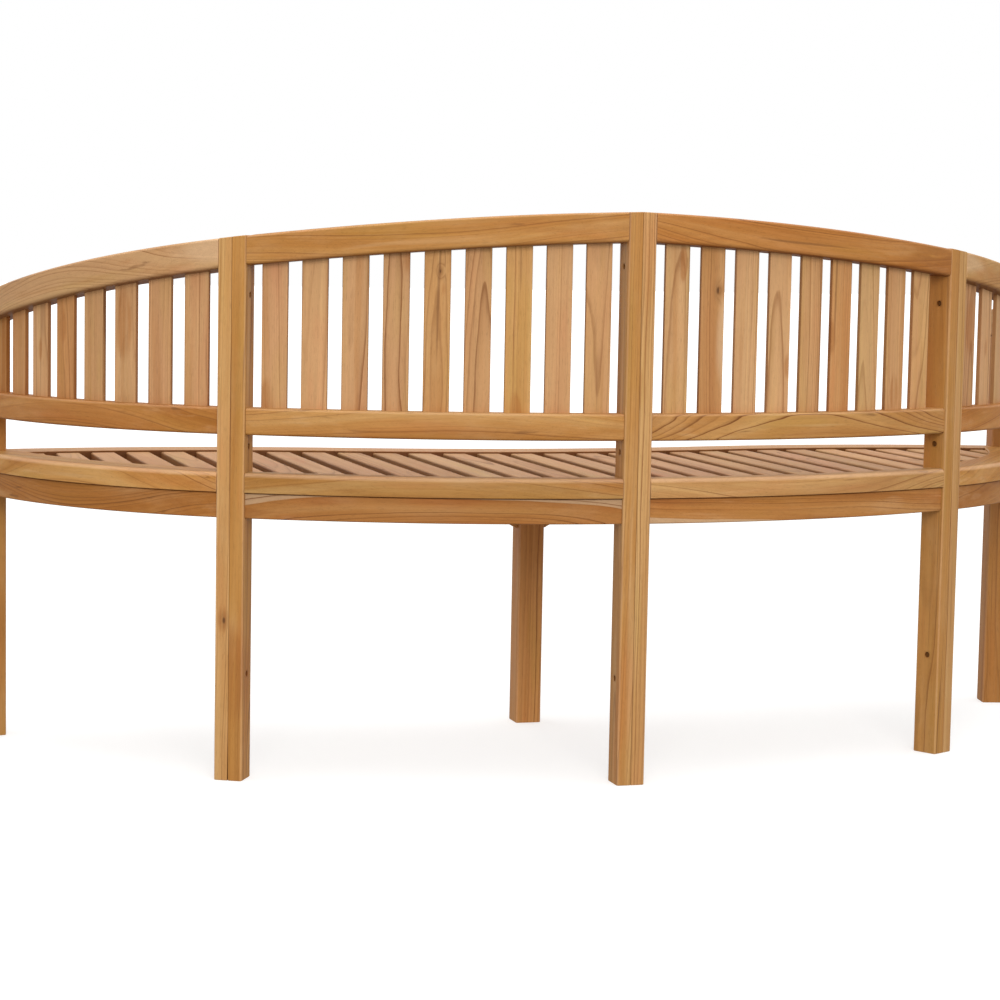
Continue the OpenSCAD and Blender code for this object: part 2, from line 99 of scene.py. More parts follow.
TOP_ARC = Arc(P1[0], CENTRE_TOP, SIDE_TOP, 7.5)
LOW_ARC = Arc(P1[0], CENTRE_TOP - 45, SIDE_TOP - 44, 6.8)
ARM_TOP_ARC = Arc(ARM_CHORD, SIDE_TOP + 1.2, ARM_TOP, 7.1)
ARM_LOW_ARC = Arc(ARM_CHORD, SIDE_TOP - 44, ARM_TOP - ARM_H, 6.1)
_cu = np.array([math.cos(rad(CHORD_A)), -math.sin(rad(CHORD_A))])


def chord_q(x, y):
    return float(np.dot(np.array([x, y]) - P1, _cu))


def z_top(x, y):
    return TOP_ARC.at(abs(x))


def z_low(x, y):
    return LOW_ARC.at(abs(x))


def z_arm_top(x, y):
    return ARM_TOP_ARC.at(chord_q(x, y))


def z_arm_low(x, y):
    return ARM_LOW_ARC.at(chord_q(x, y))


def level(z):
    return lambda x, y: z


# ------------------------------------------------------------------ mesh shells
class Shell:
    """Vertices in mm, faces, and an edge mask per vertex: positive on eased edges, paled as wear and as a painted
    highlight; negative where painted shade darkens it.
    """

    def __init__(self):
        self.v, self.f, self.e = [], [], []
        self.frame = None
        self.look = {}

    def vert(self, p, e=0.0):
        self.v.append((float(p[0]), float(p[1]), float(p[2])))
        self.e.append(e)
        return len(self.v) - 1


def rows(u0, u1, el, er, d=0.0, mids=(), k=3, et=None, dull=(0.0, 0.0, 0.0), joint=0.0, wear=1.0):
    """Lower and upper rows of a section with eased corners, set in by d.

    joint paints shade on the rounding between the upper side and the right flank,
    in the joint above it; a negative one paints shade on the rounding below.
    The last setting is how pale and bright the upper right edge is made: partly
    worn wood, partly a painted highlight.

    Each point is (u, distance in from that row's side, edge mask). el and er are
    the radii at the two ends; et, where given, is the pair for the upper row.
    The setting of three amounts (under, left flank, right flank) is painted shade
    on the underside and the two flanks; there the mask is negative.
    """
    out = []
    under, fl, fr = dull
    for upper, (a, b) in enumerate(((el, er), et or (el, er))):
        a, b = max(a - d * 0.6, 0.25), max(b - d * 0.6, 0.25)
        flat = 0.0 if upper else -under
        row = []
        for i in range(k + 1):
            t = i / k * math.pi / 2
            m = math.sin(2 * t) * (0.0 if flat < 0 or fl > 0 else 1.0) + flat * math.sin(t) ** 2 - fl * math.cos(t) ** 2
            row.append((u0 + d + a - a * math.cos(t), d + a - a * math.sin(t), m))
        for u in mids:
            row.append((u, d, flat))
        for i in range(k, -1, -1):
            t = i / k * math.pi / 2
            m = math.sin(2 * t) * (0.0 if flat < 0 or fr > 0 else 1.0) + flat * math.sin(t) ** 2 - fr * math.cos(t) ** 2
            if upper:
                m = (m * wear if m > 0 else m) if joint <= 0 else -joint * math.sin(t)
            elif joint < 0:
                m = joint * math.sin(t)
            row.append((u1 - d - b + b * math.cos(t), d + b - b * math.sin(t), m))
        out.append(row)
    return out


def sweep(put, s0, s1, section, n, ee, stations=None, side_pts=None, holes=(), ke=2):
    """Sweep a section from s0(u) to s1(u) with both ends eased by ee.

    put(s, u, side, dv) gives the point; side is 0 for the lower row, 1 for the
    upper. side_pts gives extra (dv from the lower side) points on both flanks,
    between which holes [(station value, flank, radius)] are cut.
    """
    sh = Shell()
    plan = []
    # eased board ends also carry the positive edge mask: paled as wear and as a painted highlight
    for i in range(ke + 1):
        a = i / ke * math.pi / 2
        plan.append(("a", ee * (1 - math.cos(a)), ee * (1 - math.sin(a)), math.sin(2 * a)))
    if stations is None:
        for i in range(1, n):
            plan.append(("m", i / n, 0.0, 0.0))
    else:
        for s in stations:
            plan.append(("s", s, 0.0, 0.0))
    for i in range(ke, -1, -1):
        a = i / ke * math.pi / 2
        plan.append(("b", ee * (1 - math.cos(a)), ee * (1 - math.sin(a)), math.sin(2 * a)))
    rings, values = [], []
    for kind, val, inset, mask in plan:
        low, high = section(inset)
        pts = [(u, 0, dv, m) for u, dv, m in low]
        right, left = [], []
        if side_pts:
            ur, ul = low[-1][0], low[0][0]
            right = [(ur, 0, dv, 0.0) for dv in side_pts]
            left = [(ul, 0, dv, 0.0) for dv in reversed(side_pts)]
        pts += right + [(u, 1, dv, m) for u, dv, m in reversed(high)] + left
        ring = []
        for u, side, dv, m in pts:
            a0, a1 = s0(u), s1(u)
            if kind == "a":
                s = a0 + val
            elif kind == "b":
                s = a1 - val
            elif kind == "s":
                s = val
            else:
                s = (a0 + ee) * (1 - val) + (a1 - ee) * val
            ring.append(sh.vert(put(s, u, side, dv), m if m < 0 else max(m, mask)))
        rings.append(ring)
        values.append(val if kind == "s" else None)
    m = len(section(0.0)[0])
    ns = len(side_pts) if side_pts else 0
    size = len(rings[0])
    cut = {}
    for s, flank, r, depth in holes:
        j = next(i for i in range(len(values) - 1)
                 if values[i] is not None and values[i + 1] is not None and values[i] < s < values[i + 1])
        # the middle cell between the side points, on the right or left flank
        first = m + ns // 2 - 1 if flank > 0 else m + ns + m + ns // 2 - 1
        cut[(j, first)] = (s, r, depth)
    for i in range(len(rings) - 1):
        for j in range(size):
            k = (j + 1) % size
            quad = (rings[i][j], rings[i][k], rings[i + 1][k], rings[i + 1][j])
            if (i, j) in cut:
                hole_patch(sh, quad, *cut[(i, j)][1:])
            else:
                sh.f.append(quad)
    for ring, flip in ((rings[0], True), (rings[-1], False)):
        if ns:
            sh.f.append(tuple(reversed(ring)) if flip else tuple(ring))
            continue
        low, high = ring[:m], list(reversed(ring[m:]))
        for k in range(m - 1):
            q = (low[k], low[k + 1], high[k + 1], high[k])
            sh.f.append(tuple(reversed(q)) if flip else q)
    return sh


def hole_patch(sh, quad, r, depth):
    """A round hole with an eased lip in the middle of a flat rectangular cell; its lip and walls carry painted shade.
    """
    p = [np.array(sh.v[i]) for i in quad]
    mid = sum(p) / 4
    ax = (p[1] - p[0]) / np.linalg.norm(p[1] - p[0])
    ay = (p[3] - p[0]) / np.linalg.norm(p[3] - p[0])
    inward = np.cross(ax, ay)
    # inward points away from the cell's own outward side once the shell is turned the right way
    rings = []
    n = 24
    # painted shade: the lip and walls of the hole darken more towards its bottom
    for rr, dd, e in ((r + 0.5, 0.0, -0.35), (r + 0.12, 0.22, -0.7), (r, 0.6, -0.9), (r, depth, -1.0)):
        ring = []
        for i in range(n):
            a = 2 * math.pi * (i / n) + math.pi * 1.25
            ring.append((mid + ax * rr * math.cos(a) + ay * rr * math.sin(a), dd, e))
        rings.append(ring)
    sh.pending = getattr(sh, "pending", [])
    ids = []
    for ring in rings:
        ids.append([sh.vert(q, e) for q, dd, e in ring])
        for vid, (q, dd, e) in zip(ids[-1], ring):
            sh.pending.append((vid, dd, inward))
    quarter = n // 4
    for c in range(4):
        a, b = quad[c], quad[(c + 1) % 4]
        arc = [ids[0][(c * quarter + i) % n] for i in range(quarter + 1)]
        sh.f.append((a, b) + tuple(reversed(arc)))
    for r0, r1 in zip(ids, ids[1:]):
        for i in range(n):
            j = (i + 1) % n
            sh.f.append((r0[i], r0[j], r1[j], r1[i]))
    sh.f.append(tuple(ids[-1]))


def volume(v, faces):
    total = 0.0
    for f in faces:
        a = v[f[0]]
        for i in range(1, len(f) - 1):
            total += float(np.dot(a, np.cross(v[f[i]], v[f[i + 1]])))
    return total / 6


def solve(inside, lo, hi):
    """Largest s between lo and hi for which inside(s) still holds."""
    if inside(hi):
        return hi
    for _ in range(48):
        mid = (lo + hi) / 2
        if inside(mid):
            lo = mid
        else:
            hi = mid
    return lo


def in_post(p, origin, h, grow=0.0):
    """Whether a point of the plan lies in the stock of a post whose rear face is at origin."""
    q = np.array(p) - origin
    return abs(np.dot(q, along(h))) < HW + grow and -POST - grow < np.dot(q, direction(h))


# A band follows one plan curve: pos(s, u) with s along it in mm and u across it
def polar(c, ref):
    def pos(s, u):
        a = s / ref
        return c[0] + u * math.sin(a), c[1] + u * math.cos(a)
    return pos


def front_pos(s, d):
    """A point d inside the seat's front edge, s along it from the middle."""
    split = HOLLOW_R * rad(BETA)
    if s <= split:
        q = direction(math.degrees(s / HOLLOW_R))
        p = CA + (HOLLOW_R + d) * q
    else:
        q = direction(180 + BETA - math.degrees((s - split) / BULGE_R))
        p = CB + (BULGE_R - d) * q
    return float(p[0]), float(p[1])


def front_y(x, d):
    if x < (HOLLOW_R + d) * math.sin(rad(BETA)):
        return CA[1] + math.sqrt((HOLLOW_R + d) ** 2 - x * x)
    return CB[1] - math.sqrt((BULGE_R - d) ** 2 - (x - CB[0]) ** 2)


def front_offset(p):
    """How far a point of the plan lies inside the seat's front edge."""
    p = np.array(p)
    if p[0] < np.linalg.norm(p - CA) * math.sin(rad(BETA)):
        return float(np.linalg.norm(p - CA)) - HOLLOW_R
    return BULGE_R - float(np.linalg.norm(p - CB))


def band(pos, u0, u1, low, high, s0, s1, ease, n, ee=0.9, mids=(), k=3, eases=None, lift=0.0,
         dull=(0.0, 0.0, 0.0), **kw):
    """Board along a plan curve. lift is how far its underside rises from u0 to u1."""
    def put(s, u, side, dv):
        x, y = pos(s, u)
        return x, y, (low(x, y) + dv + lift * (u - u0) / (u1 - u0)) if side == 0 else (high(x, y) - dv)

    def section(d):
        lo = eases[:2] if eases else (ease, ease)
        return rows(u0, u1, lo[0], lo[1], d, mids, k, et=eases[2:] if eases else None, dull=dull, **kw)

    # ends depend on u only; remember them
    memo = {}

    def end(fn, tag):
        def inner(u):
            key = (tag, round(u, 4))
            if key not in memo:
                memo[key] = fn(u)
            return memo[key]
        return inner

    sh = sweep(put, end(s0, 0), end(s1, 1), section, n, ee)
    a = np.array(pos(s0((u0 + u1) / 2), (u0 + u1) / 2))
    b = np.array(pos(s1((u0 + u1) / 2), (u0 + u1) / 2))
    g = (b - a) / np.linalg.norm(b - a)
    m = (a + b) / 2
    zm = (low(*m) + high(*m)) / 2
    sl = (low(*b) + high(*b)) / 2 - (low(*a) + high(*a)) / 2
    g3 = np.array([g[0], g[1], sl / np.linalg.norm(b - a)])
    g3 /= np.linalg.norm(g3)
    n3 = np.array([-g[1], g[0], 0.0])
    c3 = np.cross(n3, g3)
    sh.frame = (np.array([m[0], m[1], zm]), g3, c3, n3)
    return sh


def stop_at(pos, u, lo, hi, *tests):
    return solve(lambda s: all(t(pos(s, u)) for t in tests), lo, hi)


def start_at(pos, u, lo, hi, *tests):
    return -solve(lambda s: all(t(pos(-s, u)) for t in tests), -hi, -lo)


# ------------------------------------------------------------------ the members
def clear_centre(p):
    return p[0] > HW


def before_side(p):
    return np.dot(np.array(p) - P1, along(BAY)) < -HW


def after_side(p):
    return np.dot(np.array(p) - P1, along(BAY)) > HW


def before_leg(p):
    return np.dot(np.array(p) - LEG_P, along(LEG_A)) < -HW


def inside_leg(p):
    return np.dot(np.array(p) - LEG_P, direction(LEG_A)) < -POST


MITRE_LEG = LEG_P - POST * direction(LEG_A) - HW * along(LEG_A)
_rim, _edge = ARM_R - ARM_RIM_W, BULGE_R - FRONT_RIM_W
_cc = CB - C2
_cd = float(np.linalg.norm(_cc))
_ck = (_rim * _rim - _edge * _edge + _cd * _cd) / (2 * _cd)
MITRE_IN = C2 + _cc * _ck / _cd + np.array([_cc[1], -_cc[0]]) * math.sqrt(_rim * _rim - _ck * _ck) / _cd
_mt = (MITRE_LEG - MITRE_IN) / np.linalg.norm(MITRE_LEG - MITRE_IN)


def mitre_side(p):
    q = np.array(p) - MITRE_IN
    return float(_mt[0] * q[1] - _mt[1] * q[0])


def behind_mitre(p):
    """On the arm rim's side, or beside the leg where the mitre doesn't reach."""
    return mitre_side(p) > 0 or np.linalg.norm(np.array(p) - C2) > np.linalg.norm(MITRE_LEG - C2)


def before_mitre(p):
    return mitre_side(p) < 0


BACK = polar(C1, BACK_R)
ARM = polar(C2, ARM_R)
S_BAY = BACK_R * rad(BAY)
S_LEG0, S_LEG1 = ARM_R * rad(BAY), ARM_R * rad(LEG_A)


def bay_band(r0, r1, low, high, ease, n=28, **kw):
    return band(BACK, BACK_R - r1, BACK_R - r0, low, high,
                lambda u: start_at(BACK, u, 0, 100, clear_centre),
                lambda u: stop_at(BACK, u, S_BAY - 100, S_BAY + 30, before_side), ease, n, **kw)


def arm_band(r0, r1, low, high, ease, n=40, stops=(before_leg,), starts=(after_side,), **kw):
    return band(ARM, ARM_R - r1, ARM_R - r0, low, high,
                lambda u: start_at(ARM, u, S_LEG0 - 40, S_LEG0 + 120, *starts),
                lambda u: stop_at(ARM, u, S_LEG1 - 200, S_LEG1 + 120, *stops), ease, n, **kw)


def arm_rail_band():
    centre = C2 + (ARM_R - HW) * direction(NOSE_A)
    s_mid = ARM_R * rad(NOSE_A)

    def tip(p):
        q = np.array(p) - centre
        return np.dot(q, along(NOSE_A)) < 0 or np.linalg.norm(q) < NOSE_R
    # its underside is darkened with painted shade
    return band(ARM, ARM_R - POST, ARM_R, z_arm_low, z_arm_top,
                lambda u: start_at(ARM, u, S_LEG0 - 40, S_LEG0 + 120, after_side),
                lambda u: stop_at(ARM, u, s_mid, s_mid + 60, tip), 3.0, 56, ee=1.6, k=4, lift=2.5,
                mids=[ARM_R - POST + 10, ARM_R - 28, ARM_R - HW, ARM_R - 14, ARM_R - 10],
                eases=(3.0, 5.5, 4.0, 4.0), dull=(0.9, 0.0, 0.0))


def front_band(d0, d1, z0, z1, ease, s0, s1, n=56, **kw):
    return band(front_pos, d0, d1, level(z0), level(z1), s0, s1, ease, n, **kw)


def stick(origin, h, x0, x1, top, el, er, pins=(), flank=0, foot=1.2, head=0.8, crack=0.0):
    """Upright stock in a post's own place: x along the curve, y outward."""
    t, nrm = along(h), direction(h)
    base = np.array([origin[0], origin[1]])

    def put(s, u, side, dv):
        y = (-POST + dv) if side == 0 else -dv
        p = base + u * t + y * nrm
        if crack and abs(u) < 6:
            p = p + t * crack * math.copysign(1.0, (x0 + x1)) * max(0.0, 1 - s / 90.0) ** 1.5 * (1 - abs(u) / 6)
        return p[0], p[1], s

    def s1(u):
        p = base + u * t - (0.0 if top is z_arm_top else HW) * nrm
        return top(p[0], p[1])

    zs = [20, 60, 100, 200, 300, 380, 440, 500, 560, 620, 680, 730]
    for z in pins:
        zs = [q for q in zs if abs(q - z) > 12] + [z - 6.5, z + 6.5]
    zs = sorted(q for q in zs if q < s1(0) - 12)
    holes = [(z, flank, 4.1, 9.0) for z in pins]
    # painted shade on the rounding beside the seam between the two halves
    seam = (0.0, 1.0 if el < 1 else 0.0, 1.0 if er < 1 else 0.0)
    sh = sweep(put, lambda u: 0.0, s1, lambda d: rows(x0, x1, el, er, d, (), 3, dull=seam), 0, foot,
               stations=zs, side_pts=[10.0, HW - 6.5, HW + 6.5, 32.0], holes=holes)
    mid = base + (x0 + x1) / 2 * t - HW * nrm
    sh.frame = (np.array([mid[0], mid[1], 400.0]), np.array([0.0, 0.0, 1.0]),
                np.array([t[0], t[1], 0.0]), np.array([nrm[0], nrm[1], 0.0]))
    return sh


def back_slat(origin_c, r, h, z_under):
    """Flat upright slat, set into both rails."""
    t, nrm = along(h), direction(h)
    base = origin_c + (r - HW) * nrm

    def put(s, u, side, dv):
        y = (-BSLAT_T / 2 + dv) if side == 0 else BSLAT_T / 2 - dv
        p = base + u * t + y * nrm
        return p[0], p[1], s
    z1 = z_under(base[0], base[1]) + 11
    # painted shade darkens both flanks of each slat
    sh = sweep(put, lambda u: 532.0, lambda u: z1,
               lambda d: rows(-BSLAT_W / 2, BSLAT_W / 2, 1.3, 1.3, d, (), 3, dull=(0.0, 0.75, 0.75)), 6, 0.5)
    sh.frame = (np.array([base[0], base[1], (532 + z1) / 2]), np.array([0.0, 0.0, 1.0]),
                np.array([t[0], t[1], 0.0]), np.array([nrm[0], nrm[1], 0.0]))
    return sh


def seat_slat(k):
    """Seat slat from front to back, its ends cut to the curves of the rims."""
    x = PITCH * (k + 0.5)
    x0, x1 = x - SLAT_W / 2, x + SLAT_W / 2
    if k == 14:
        x1 = 810.5
    mids = [x0 + (x1 - x0) * f for f in (0.3, 0.5, 0.7)]
    corner = P1 - (HW + 1.5) * along(BAY) - (POST + 1.5) * direction(BAY)
    if k == 0:
        mids += [HW + 1.49, HW + 1.51]
    if k == 9:
        mids += [corner[0] - 0.01, corner[0] + 0.01]
    mids = sorted(mids)

    def rear(u):
        if k <= 9:
            y = C1[1] + math.sqrt((BACK_R - RIM_W) ** 2 - u * u)
        else:
            y = C2[1] + math.sqrt((ARM_R - ARM_RIM_W) ** 2 - (u - C2[0]) ** 2)
        if k == 0 and u < HW + 1.5:
            y = YO - POST - 1.5
        if k == 9 and u > corner[0]:
            y = min(y, corner[1] - (u - corner[0]) * math.tan(rad(BAY)))
        return y - 0.4

    def put(s, u, side, dv):
        return u, s, (APRON_TOP + dv) if side == 0 else (SLAT_TOP - dv)
    # painted shade darkens the underside and both flanks of each slat
    sh = sweep(put, lambda u: front_y(u, FRONT_RIM_W + 1.5), rear,
               lambda d: rows(x0, x1, 1.5, 1.5, d, mids, 3, et=(2.6, 2.6), dull=(0.3, 0.5, 0.5)), 5, 0.8)
    ym = (front_y(x, 66) + rear(x)) / 2
    sh.frame = (np.array([x, ym, 432.0]), np.array([0.0, 1.0, 0.0]), np.array([1.0, 0.0, 0.0]),
                np.array([0.0, 0.0, 1.0]))
    return sh


def pin_set(both_sides):
    """Turned wooden pins, their domed ends a little below the face of the post."""
    out = []
    places = [(C1 + BACK_R * direction(0), 0.0, (155, 485, 752), 1)]
    for m in both_sides:
        places.append((P1, BAY, (155, 485, 702), m))
    for origin, h, zs, m in places:
        t, nrm = along(h), direction(h)
        for z in zs:
            sh = Shell()
            c = origin - HW * nrm
            n, ids = 24, []
            prof = [(-18.3, 0.8), (-18.6, 2.2), (-18.3, 3.2), (-17.6, 3.85), (-12.0, 3.95), (0.0, 3.95), (12.0, 3.95),
                    (17.6, 3.85), (18.3, 3.2), (18.6, 2.2), (18.3, 0.8)]
            for lx, r in prof:
                ring = []
                for i in range(n):
                    a = 2 * math.pi * i / n
                    p = c + lx * t + r * math.cos(a) * nrm
                    ring.append(sh.vert((p[0], p[1], z + r * math.sin(a)), 0.0))
                ids.append(ring)
            for r0, r1 in zip(ids, ids[1:]):
                for i in range(n):
                    j = (i + 1) % n
                    sh.f.append((r0[i], r0[j], r1[j], r1[i]))
            sh.f.append(tuple(reversed(ids[0])))
            sh.f.append(tuple(ids[-1]))
            sh.frame = (np.array([c[0], c[1], z]), np.array([t[0], t[1], 0.0]), np.array([nrm[0], nrm[1], 0.0]),
                        np.array([0.0, 0.0, 1.0]))
            sh.mx = m
            out.append(sh)
    return out


# ------------------------------------------------------------------ wood finish
def node(nt, kind, **props):
    n = nt.nodes.new(kind)
    for k, v in props.items():
        setattr(n, k, v)
    return n


def link(nt, out, socket):
    nt.links.new(out, socket)


def put_in(nt, socket, value):
    if hasattr(value, "is_output") and value.is_output:
        nt.links.new(value, socket)
    else:
        socket.default_value = value


def calc(nt, op, a, b=0.0, c=0.0, clamp=False):
    n = node(nt, "ShaderNodeMath", operation=op, use_clamp=clamp)
    put_in(nt, n.inputs[0], a)
    put_in(nt, n.inputs[1], b)
    put_in(nt, n.inputs[2], c)
    return n.outputs[0]


def vec(nt, op, a, b=(0.0, 0.0, 0.0), scale=None):
    n = node(nt, "ShaderNodeVectorMath", operation=op)
    put_in(nt, n.inputs[0], a)
    put_in(nt, n.inputs[1], b)
    if scale is not None:
        put_in(nt, n.inputs["Scale"], scale)
    return n.outputs["Value"] if op in ("LENGTH", "DOT_PRODUCT", "DISTANCE") else n.outputs["Vector"]


def noise(nt, v, scale=1.0, detail=2.0, rough=0.5, color=False):
    n = node(nt, "ShaderNodeTexNoise", noise_dimensions="3D")
    put_in(nt, n.inputs["Vector"], v)
    n.inputs["Scale"].default_value = scale
    n.inputs["Detail"].default_value = detail
    n.inputs["Roughness"].default_value = rough
    return n.outputs["Color"] if color else n.outputs[0]


def step(nt, x, lo, hi):
    n = node(nt, "ShaderNodeMapRange", interpolation_type="SMOOTHSTEP")
    put_in(nt, n.inputs["Value"], x)
    put_in(nt, n.inputs["From Min"], lo)
    put_in(nt, n.inputs["From Max"], hi)
    n.inputs["To Min"].default_value = 0.0
    n.inputs["To Max"].default_value = 1.0
    return n.outputs["Result"]


def mix(nt, fac, a, b, blend="MIX"):
    n = node(nt, "ShaderNodeMix", data_type="RGBA", blend_type=blend, clamp_factor=True)
    put_in(nt, n.inputs[0], fac)
    put_in(nt, n.inputs[6], a)
    put_in(nt, n.inputs[7], b)
    return n.outputs[2]


def ramp(nt, fac, stops, interp="LINEAR"):
    n = node(nt, "ShaderNodeValToRGB")
    n.color_ramp.interpolation = interp
    while len(n.color_ramp.elements) < len(stops):
        n.color_ramp.elements.new(0.5)
    for el, (pos, col) in zip(n.color_ramp.elements, stops):
        el.position = pos
        el.color = (col[0], col[1], col[2], 1.0) if isinstance(col, tuple) else (col, col, col, 1.0)
    put_in(nt, n.inputs[0], fac)
    return n.outputs["Color"]


def attribute(nt, name):
    return node(nt, "ShaderNodeAttribute", attribute_type="GEOMETRY", attribute_name=name).outputs["Vector"]


def split(nt, v):
    n = node(nt, "ShaderNodeSeparateXYZ")
    put_in(nt, n.inputs[0], v)
    return n.outputs


def teak(name, rough=0.5, own=None, darker=1.0):
    """Oiled teak. Growth rings are shells round the pith of each board.

    own, where given, is (angle about Z, offset, pith, tone) for a part that has no
    wood coordinates of its own; else they come from the mesh.
    """
    mat = bpy.data.materials.new(name)
    mat.use_nodes = True
    nt = mat.node_tree
    nt.nodes.clear()
    if own is None:
        wood, face = attribute(nt, "wood"), attribute(nt, "face")
        tone, figure, knot, stain = (split(nt, attribute(nt, n)) for n in ("tone", "figure", "knot", "stain"))
        edge = figure[2]
        tone = [tone[i] for i in range(3)]
        strength, sap = figure[0], figure[1]
    else:
        angle, offset, pith, tones = own
        co = node(nt, "ShaderNodeTexCoord").outputs["Object"]
        mp = node(nt, "ShaderNodeMapping", vector_type="POINT")
        mp.inputs["Location"].default_value = offset
        mp.inputs["Rotation"].default_value = angle
        put_in(nt, mp.inputs["Vector"], co)
        wood = vec(nt, "ADD", mp.outputs[0], (3.7 * len(name), pith[0], pith[1]))
        face, knot, stain, edge, tone, strength, sap = None, None, None, 0.0, list(tones), 0.7, 9.0

    def field(sx, sy, detail=2.0, rough_=0.5, v=wood, color=False):
        return noise(nt, vec(nt, "MULTIPLY", v, (sx, sy, sy)), 1.0, detail, rough_, color)

    def times(*args):
        out = args[0]
        for x in args[1:]:
            out = calc(nt, "MULTIPLY", out, x)
        return out

    def plus(*args):
        out = args[0]
        for x in args[1:]:
            out = calc(nt, "ADD", out, x)
        return out

    # slow wander of the rings, long along the grain
    wander = vec(nt, "SUBTRACT", field(1.5, 9.0, 2.0, 0.5, color=True), (0.5, 0.5, 0.5))
    jitter = vec(nt, "SUBTRACT", field(7.0, 48.0, 2.0, 0.5, color=True), (0.5, 0.5, 0.5))
    moved = vec(nt, "ADD", wood, vec(nt, "MULTIPLY", wander, (0.0, 0.026, 0.026)))
    moved = vec(nt, "ADD", moved, vec(nt, "MULTIPLY", jitter, (0.0, 0.0024, 0.0024)))
    cross = vec(nt, "MULTIPLY", moved, (0.0, 1.0, 1.0))
    r = vec(nt, "LENGTH", cross)
    if knot is not None:
        f = split(nt, face)
        dx = times(calc(nt, "SUBTRACT", f[0], knot[0]), 0.45)
        dy = calc(nt, "SUBTRACT", f[1], knot[1])
        kd = calc(nt, "SQRT", plus(times(dx, dx), times(dy, dy)))
        kd = plus(kd, times(split(nt, jitter)[0], 0.004))
        rel = calc(nt, "DIVIDE", kd, calc(nt, "MAXIMUM", knot[2], 1e-4))
        present = step(nt, knot[2], 0.0005, 0.001)
        pull = calc(nt, "EXPONENT", times(rel, rel, -0.28))
        r = plus(r, times(pull, knot[2], present, 2.6))
        core = times(calc(nt, "SUBTRACT", 1.0, step(nt, rel, 0.25, 0.95)), present)
        halo = times(calc(nt, "SUBTRACT", 1.0, step(nt, rel, 0.6, 3.4)), present)
        sx = times(calc(nt, "SUBTRACT", f[0], stain[0]), 0.30)
        sy = calc(nt, "SUBTRACT", f[1], stain[1])
        sd = plus(calc(nt, "SQRT", plus(times(sx, sx), times(sy, sy))), times(split(nt, wander)[1], 0.028),
                  times(split(nt, jitter)[1], 0.010))
        size = calc(nt, "ABSOLUTE", stain[2])
        spot = calc(nt, "SUBTRACT", 1.0, step(nt, sd, times(size, 0.55), plus(times(size, 1.1), 0.0004)))
        warm = times(spot, step(nt, stain[2], 0.0005, 0.001), step(nt, field(2.6, 120.0, 2.0, 0.5), 0.25, 0.55))
        light = times(spot, step(nt, times(stain[2], -1.0), 0.0005, 0.001))

    along_g = split(nt, wood)[0]
    rm = times(r, 1000.0)

    def shell(across, lengthwise, detail=2.0, shift=0.0):
        """Noise that is constant on a growth ring and changes slowly along it."""
        c = node(nt, "ShaderNodeCombineXYZ")
        put_in(nt, c.inputs[0], times(rm, across))
        put_in(nt, c.inputs[1], times(along_g, lengthwise))
        c.inputs[2].default_value = shift
        return noise(nt, c.outputs[0], 1.0, detail, 0.55)

    # rings of uneven width, each with a thin dark late line at its outer side
    turns = plus(times(rm, 0.27), times(shell(0.055, 0.6), 3.0))
    ring = calc(nt, "FRACT", turns)
    white = node(nt, "ShaderNodeTexWhiteNoise", noise_dimensions="1D")
    put_in(nt, white.inputs["W"], calc(nt, "FLOOR", turns))
    which = white.outputs["Value"]
    late = ramp(nt, ring, [(0.0, 0.25), (0.06, 0.0), (0.50, 0.06), (0.76, 0.35), (0.90, 1.0), (0.97, 0.85), (1.0, 0.25)])
    late = times(late, step(nt, which, 0.15, 0.85), plus(0.45, times(shell(0.5, 5.0, 2.0, 3.0), 1.1)))
    groups = step(nt, shell(0.035, 0.8, 2.0, 7.0), 0.38, 0.62)
    late = times(late, plus(0.42, times(groups, 0.80)))

    broad = shell(0.050, 1.1, 3.0, 11.0)
    streak = field(1.7, 62.0, 3.0, 0.55)
    thin = field(4.5, 230.0, 2.0, 0.55)
    fibre = field(14.0, 620.0, 3.0, 0.6)
    pore = field(70.0, 1500.0, 1.0, 0.5)
    cloud = field(8.0, 24.0, 3.0, 0.6)
    hue = field(4.2, 30.0, 2.0, 0.5, v=vec(nt, "ADD", wood, (17.0, 5.0, 9.0)))
    ray = noise(nt, vec(nt, "MULTIPLY", wood, (150.0, 260.0, 40.0)), 1.0, 2.0, 0.6)

    base = ramp(nt, broad, [(0.30, (0.385, 0.152, 0.028)), (0.44, (0.450, 0.196, 0.044)), (0.55, (0.490, 0.232, 0.060)),
                            (0.70, (0.545, 0.290, 0.092))])
    # the tone of the board: towards pale pinkish tan
    base = mix(nt, tone[2], base, (0.560, 0.325, 0.165, 1.0))
    base = mix(nt, times(step(nt, streak, 0.50, 0.72), strength, 0.46), base, (0.355, 0.138, 0.030, 1.0))
    base = mix(nt, times(step(nt, times(streak, -1.0), -0.44, -0.28), strength, 0.40), base, (0.590, 0.350, 0.150, 1.0))
    base = mix(nt, times(step(nt, hue, 0.52, 0.74), 0.40), base, mix(nt, 1.0, base, (0.92, 1.02, 0.74, 1.0), "MULTIPLY"))
    base = mix(nt, times(step(nt, times(hue, -1.0), -0.46, -0.26), 0.45), base,
               mix(nt, 1.0, base, (1.03, 0.84, 0.86, 1.0), "MULTIPLY"))
    base = mix(nt, times(step(nt, cloud, 0.46, 0.80), 0.28), base, (0.600, 0.360, 0.160, 1.0))
    # redness of the board, or yellowness where it is negative
    base = mix(nt, calc(nt, "MAXIMUM", tone[1], 0.0), base, mix(nt, 1.0, base, (0.96, 0.66, 0.44, 1.0), "MULTIPLY"))
    base = mix(nt, calc(nt, "MAXIMUM", times(tone[1], -1.0), 0.0), base,
               mix(nt, 1.0, base, (0.96, 1.04, 0.80, 1.0), "MULTIPLY"))
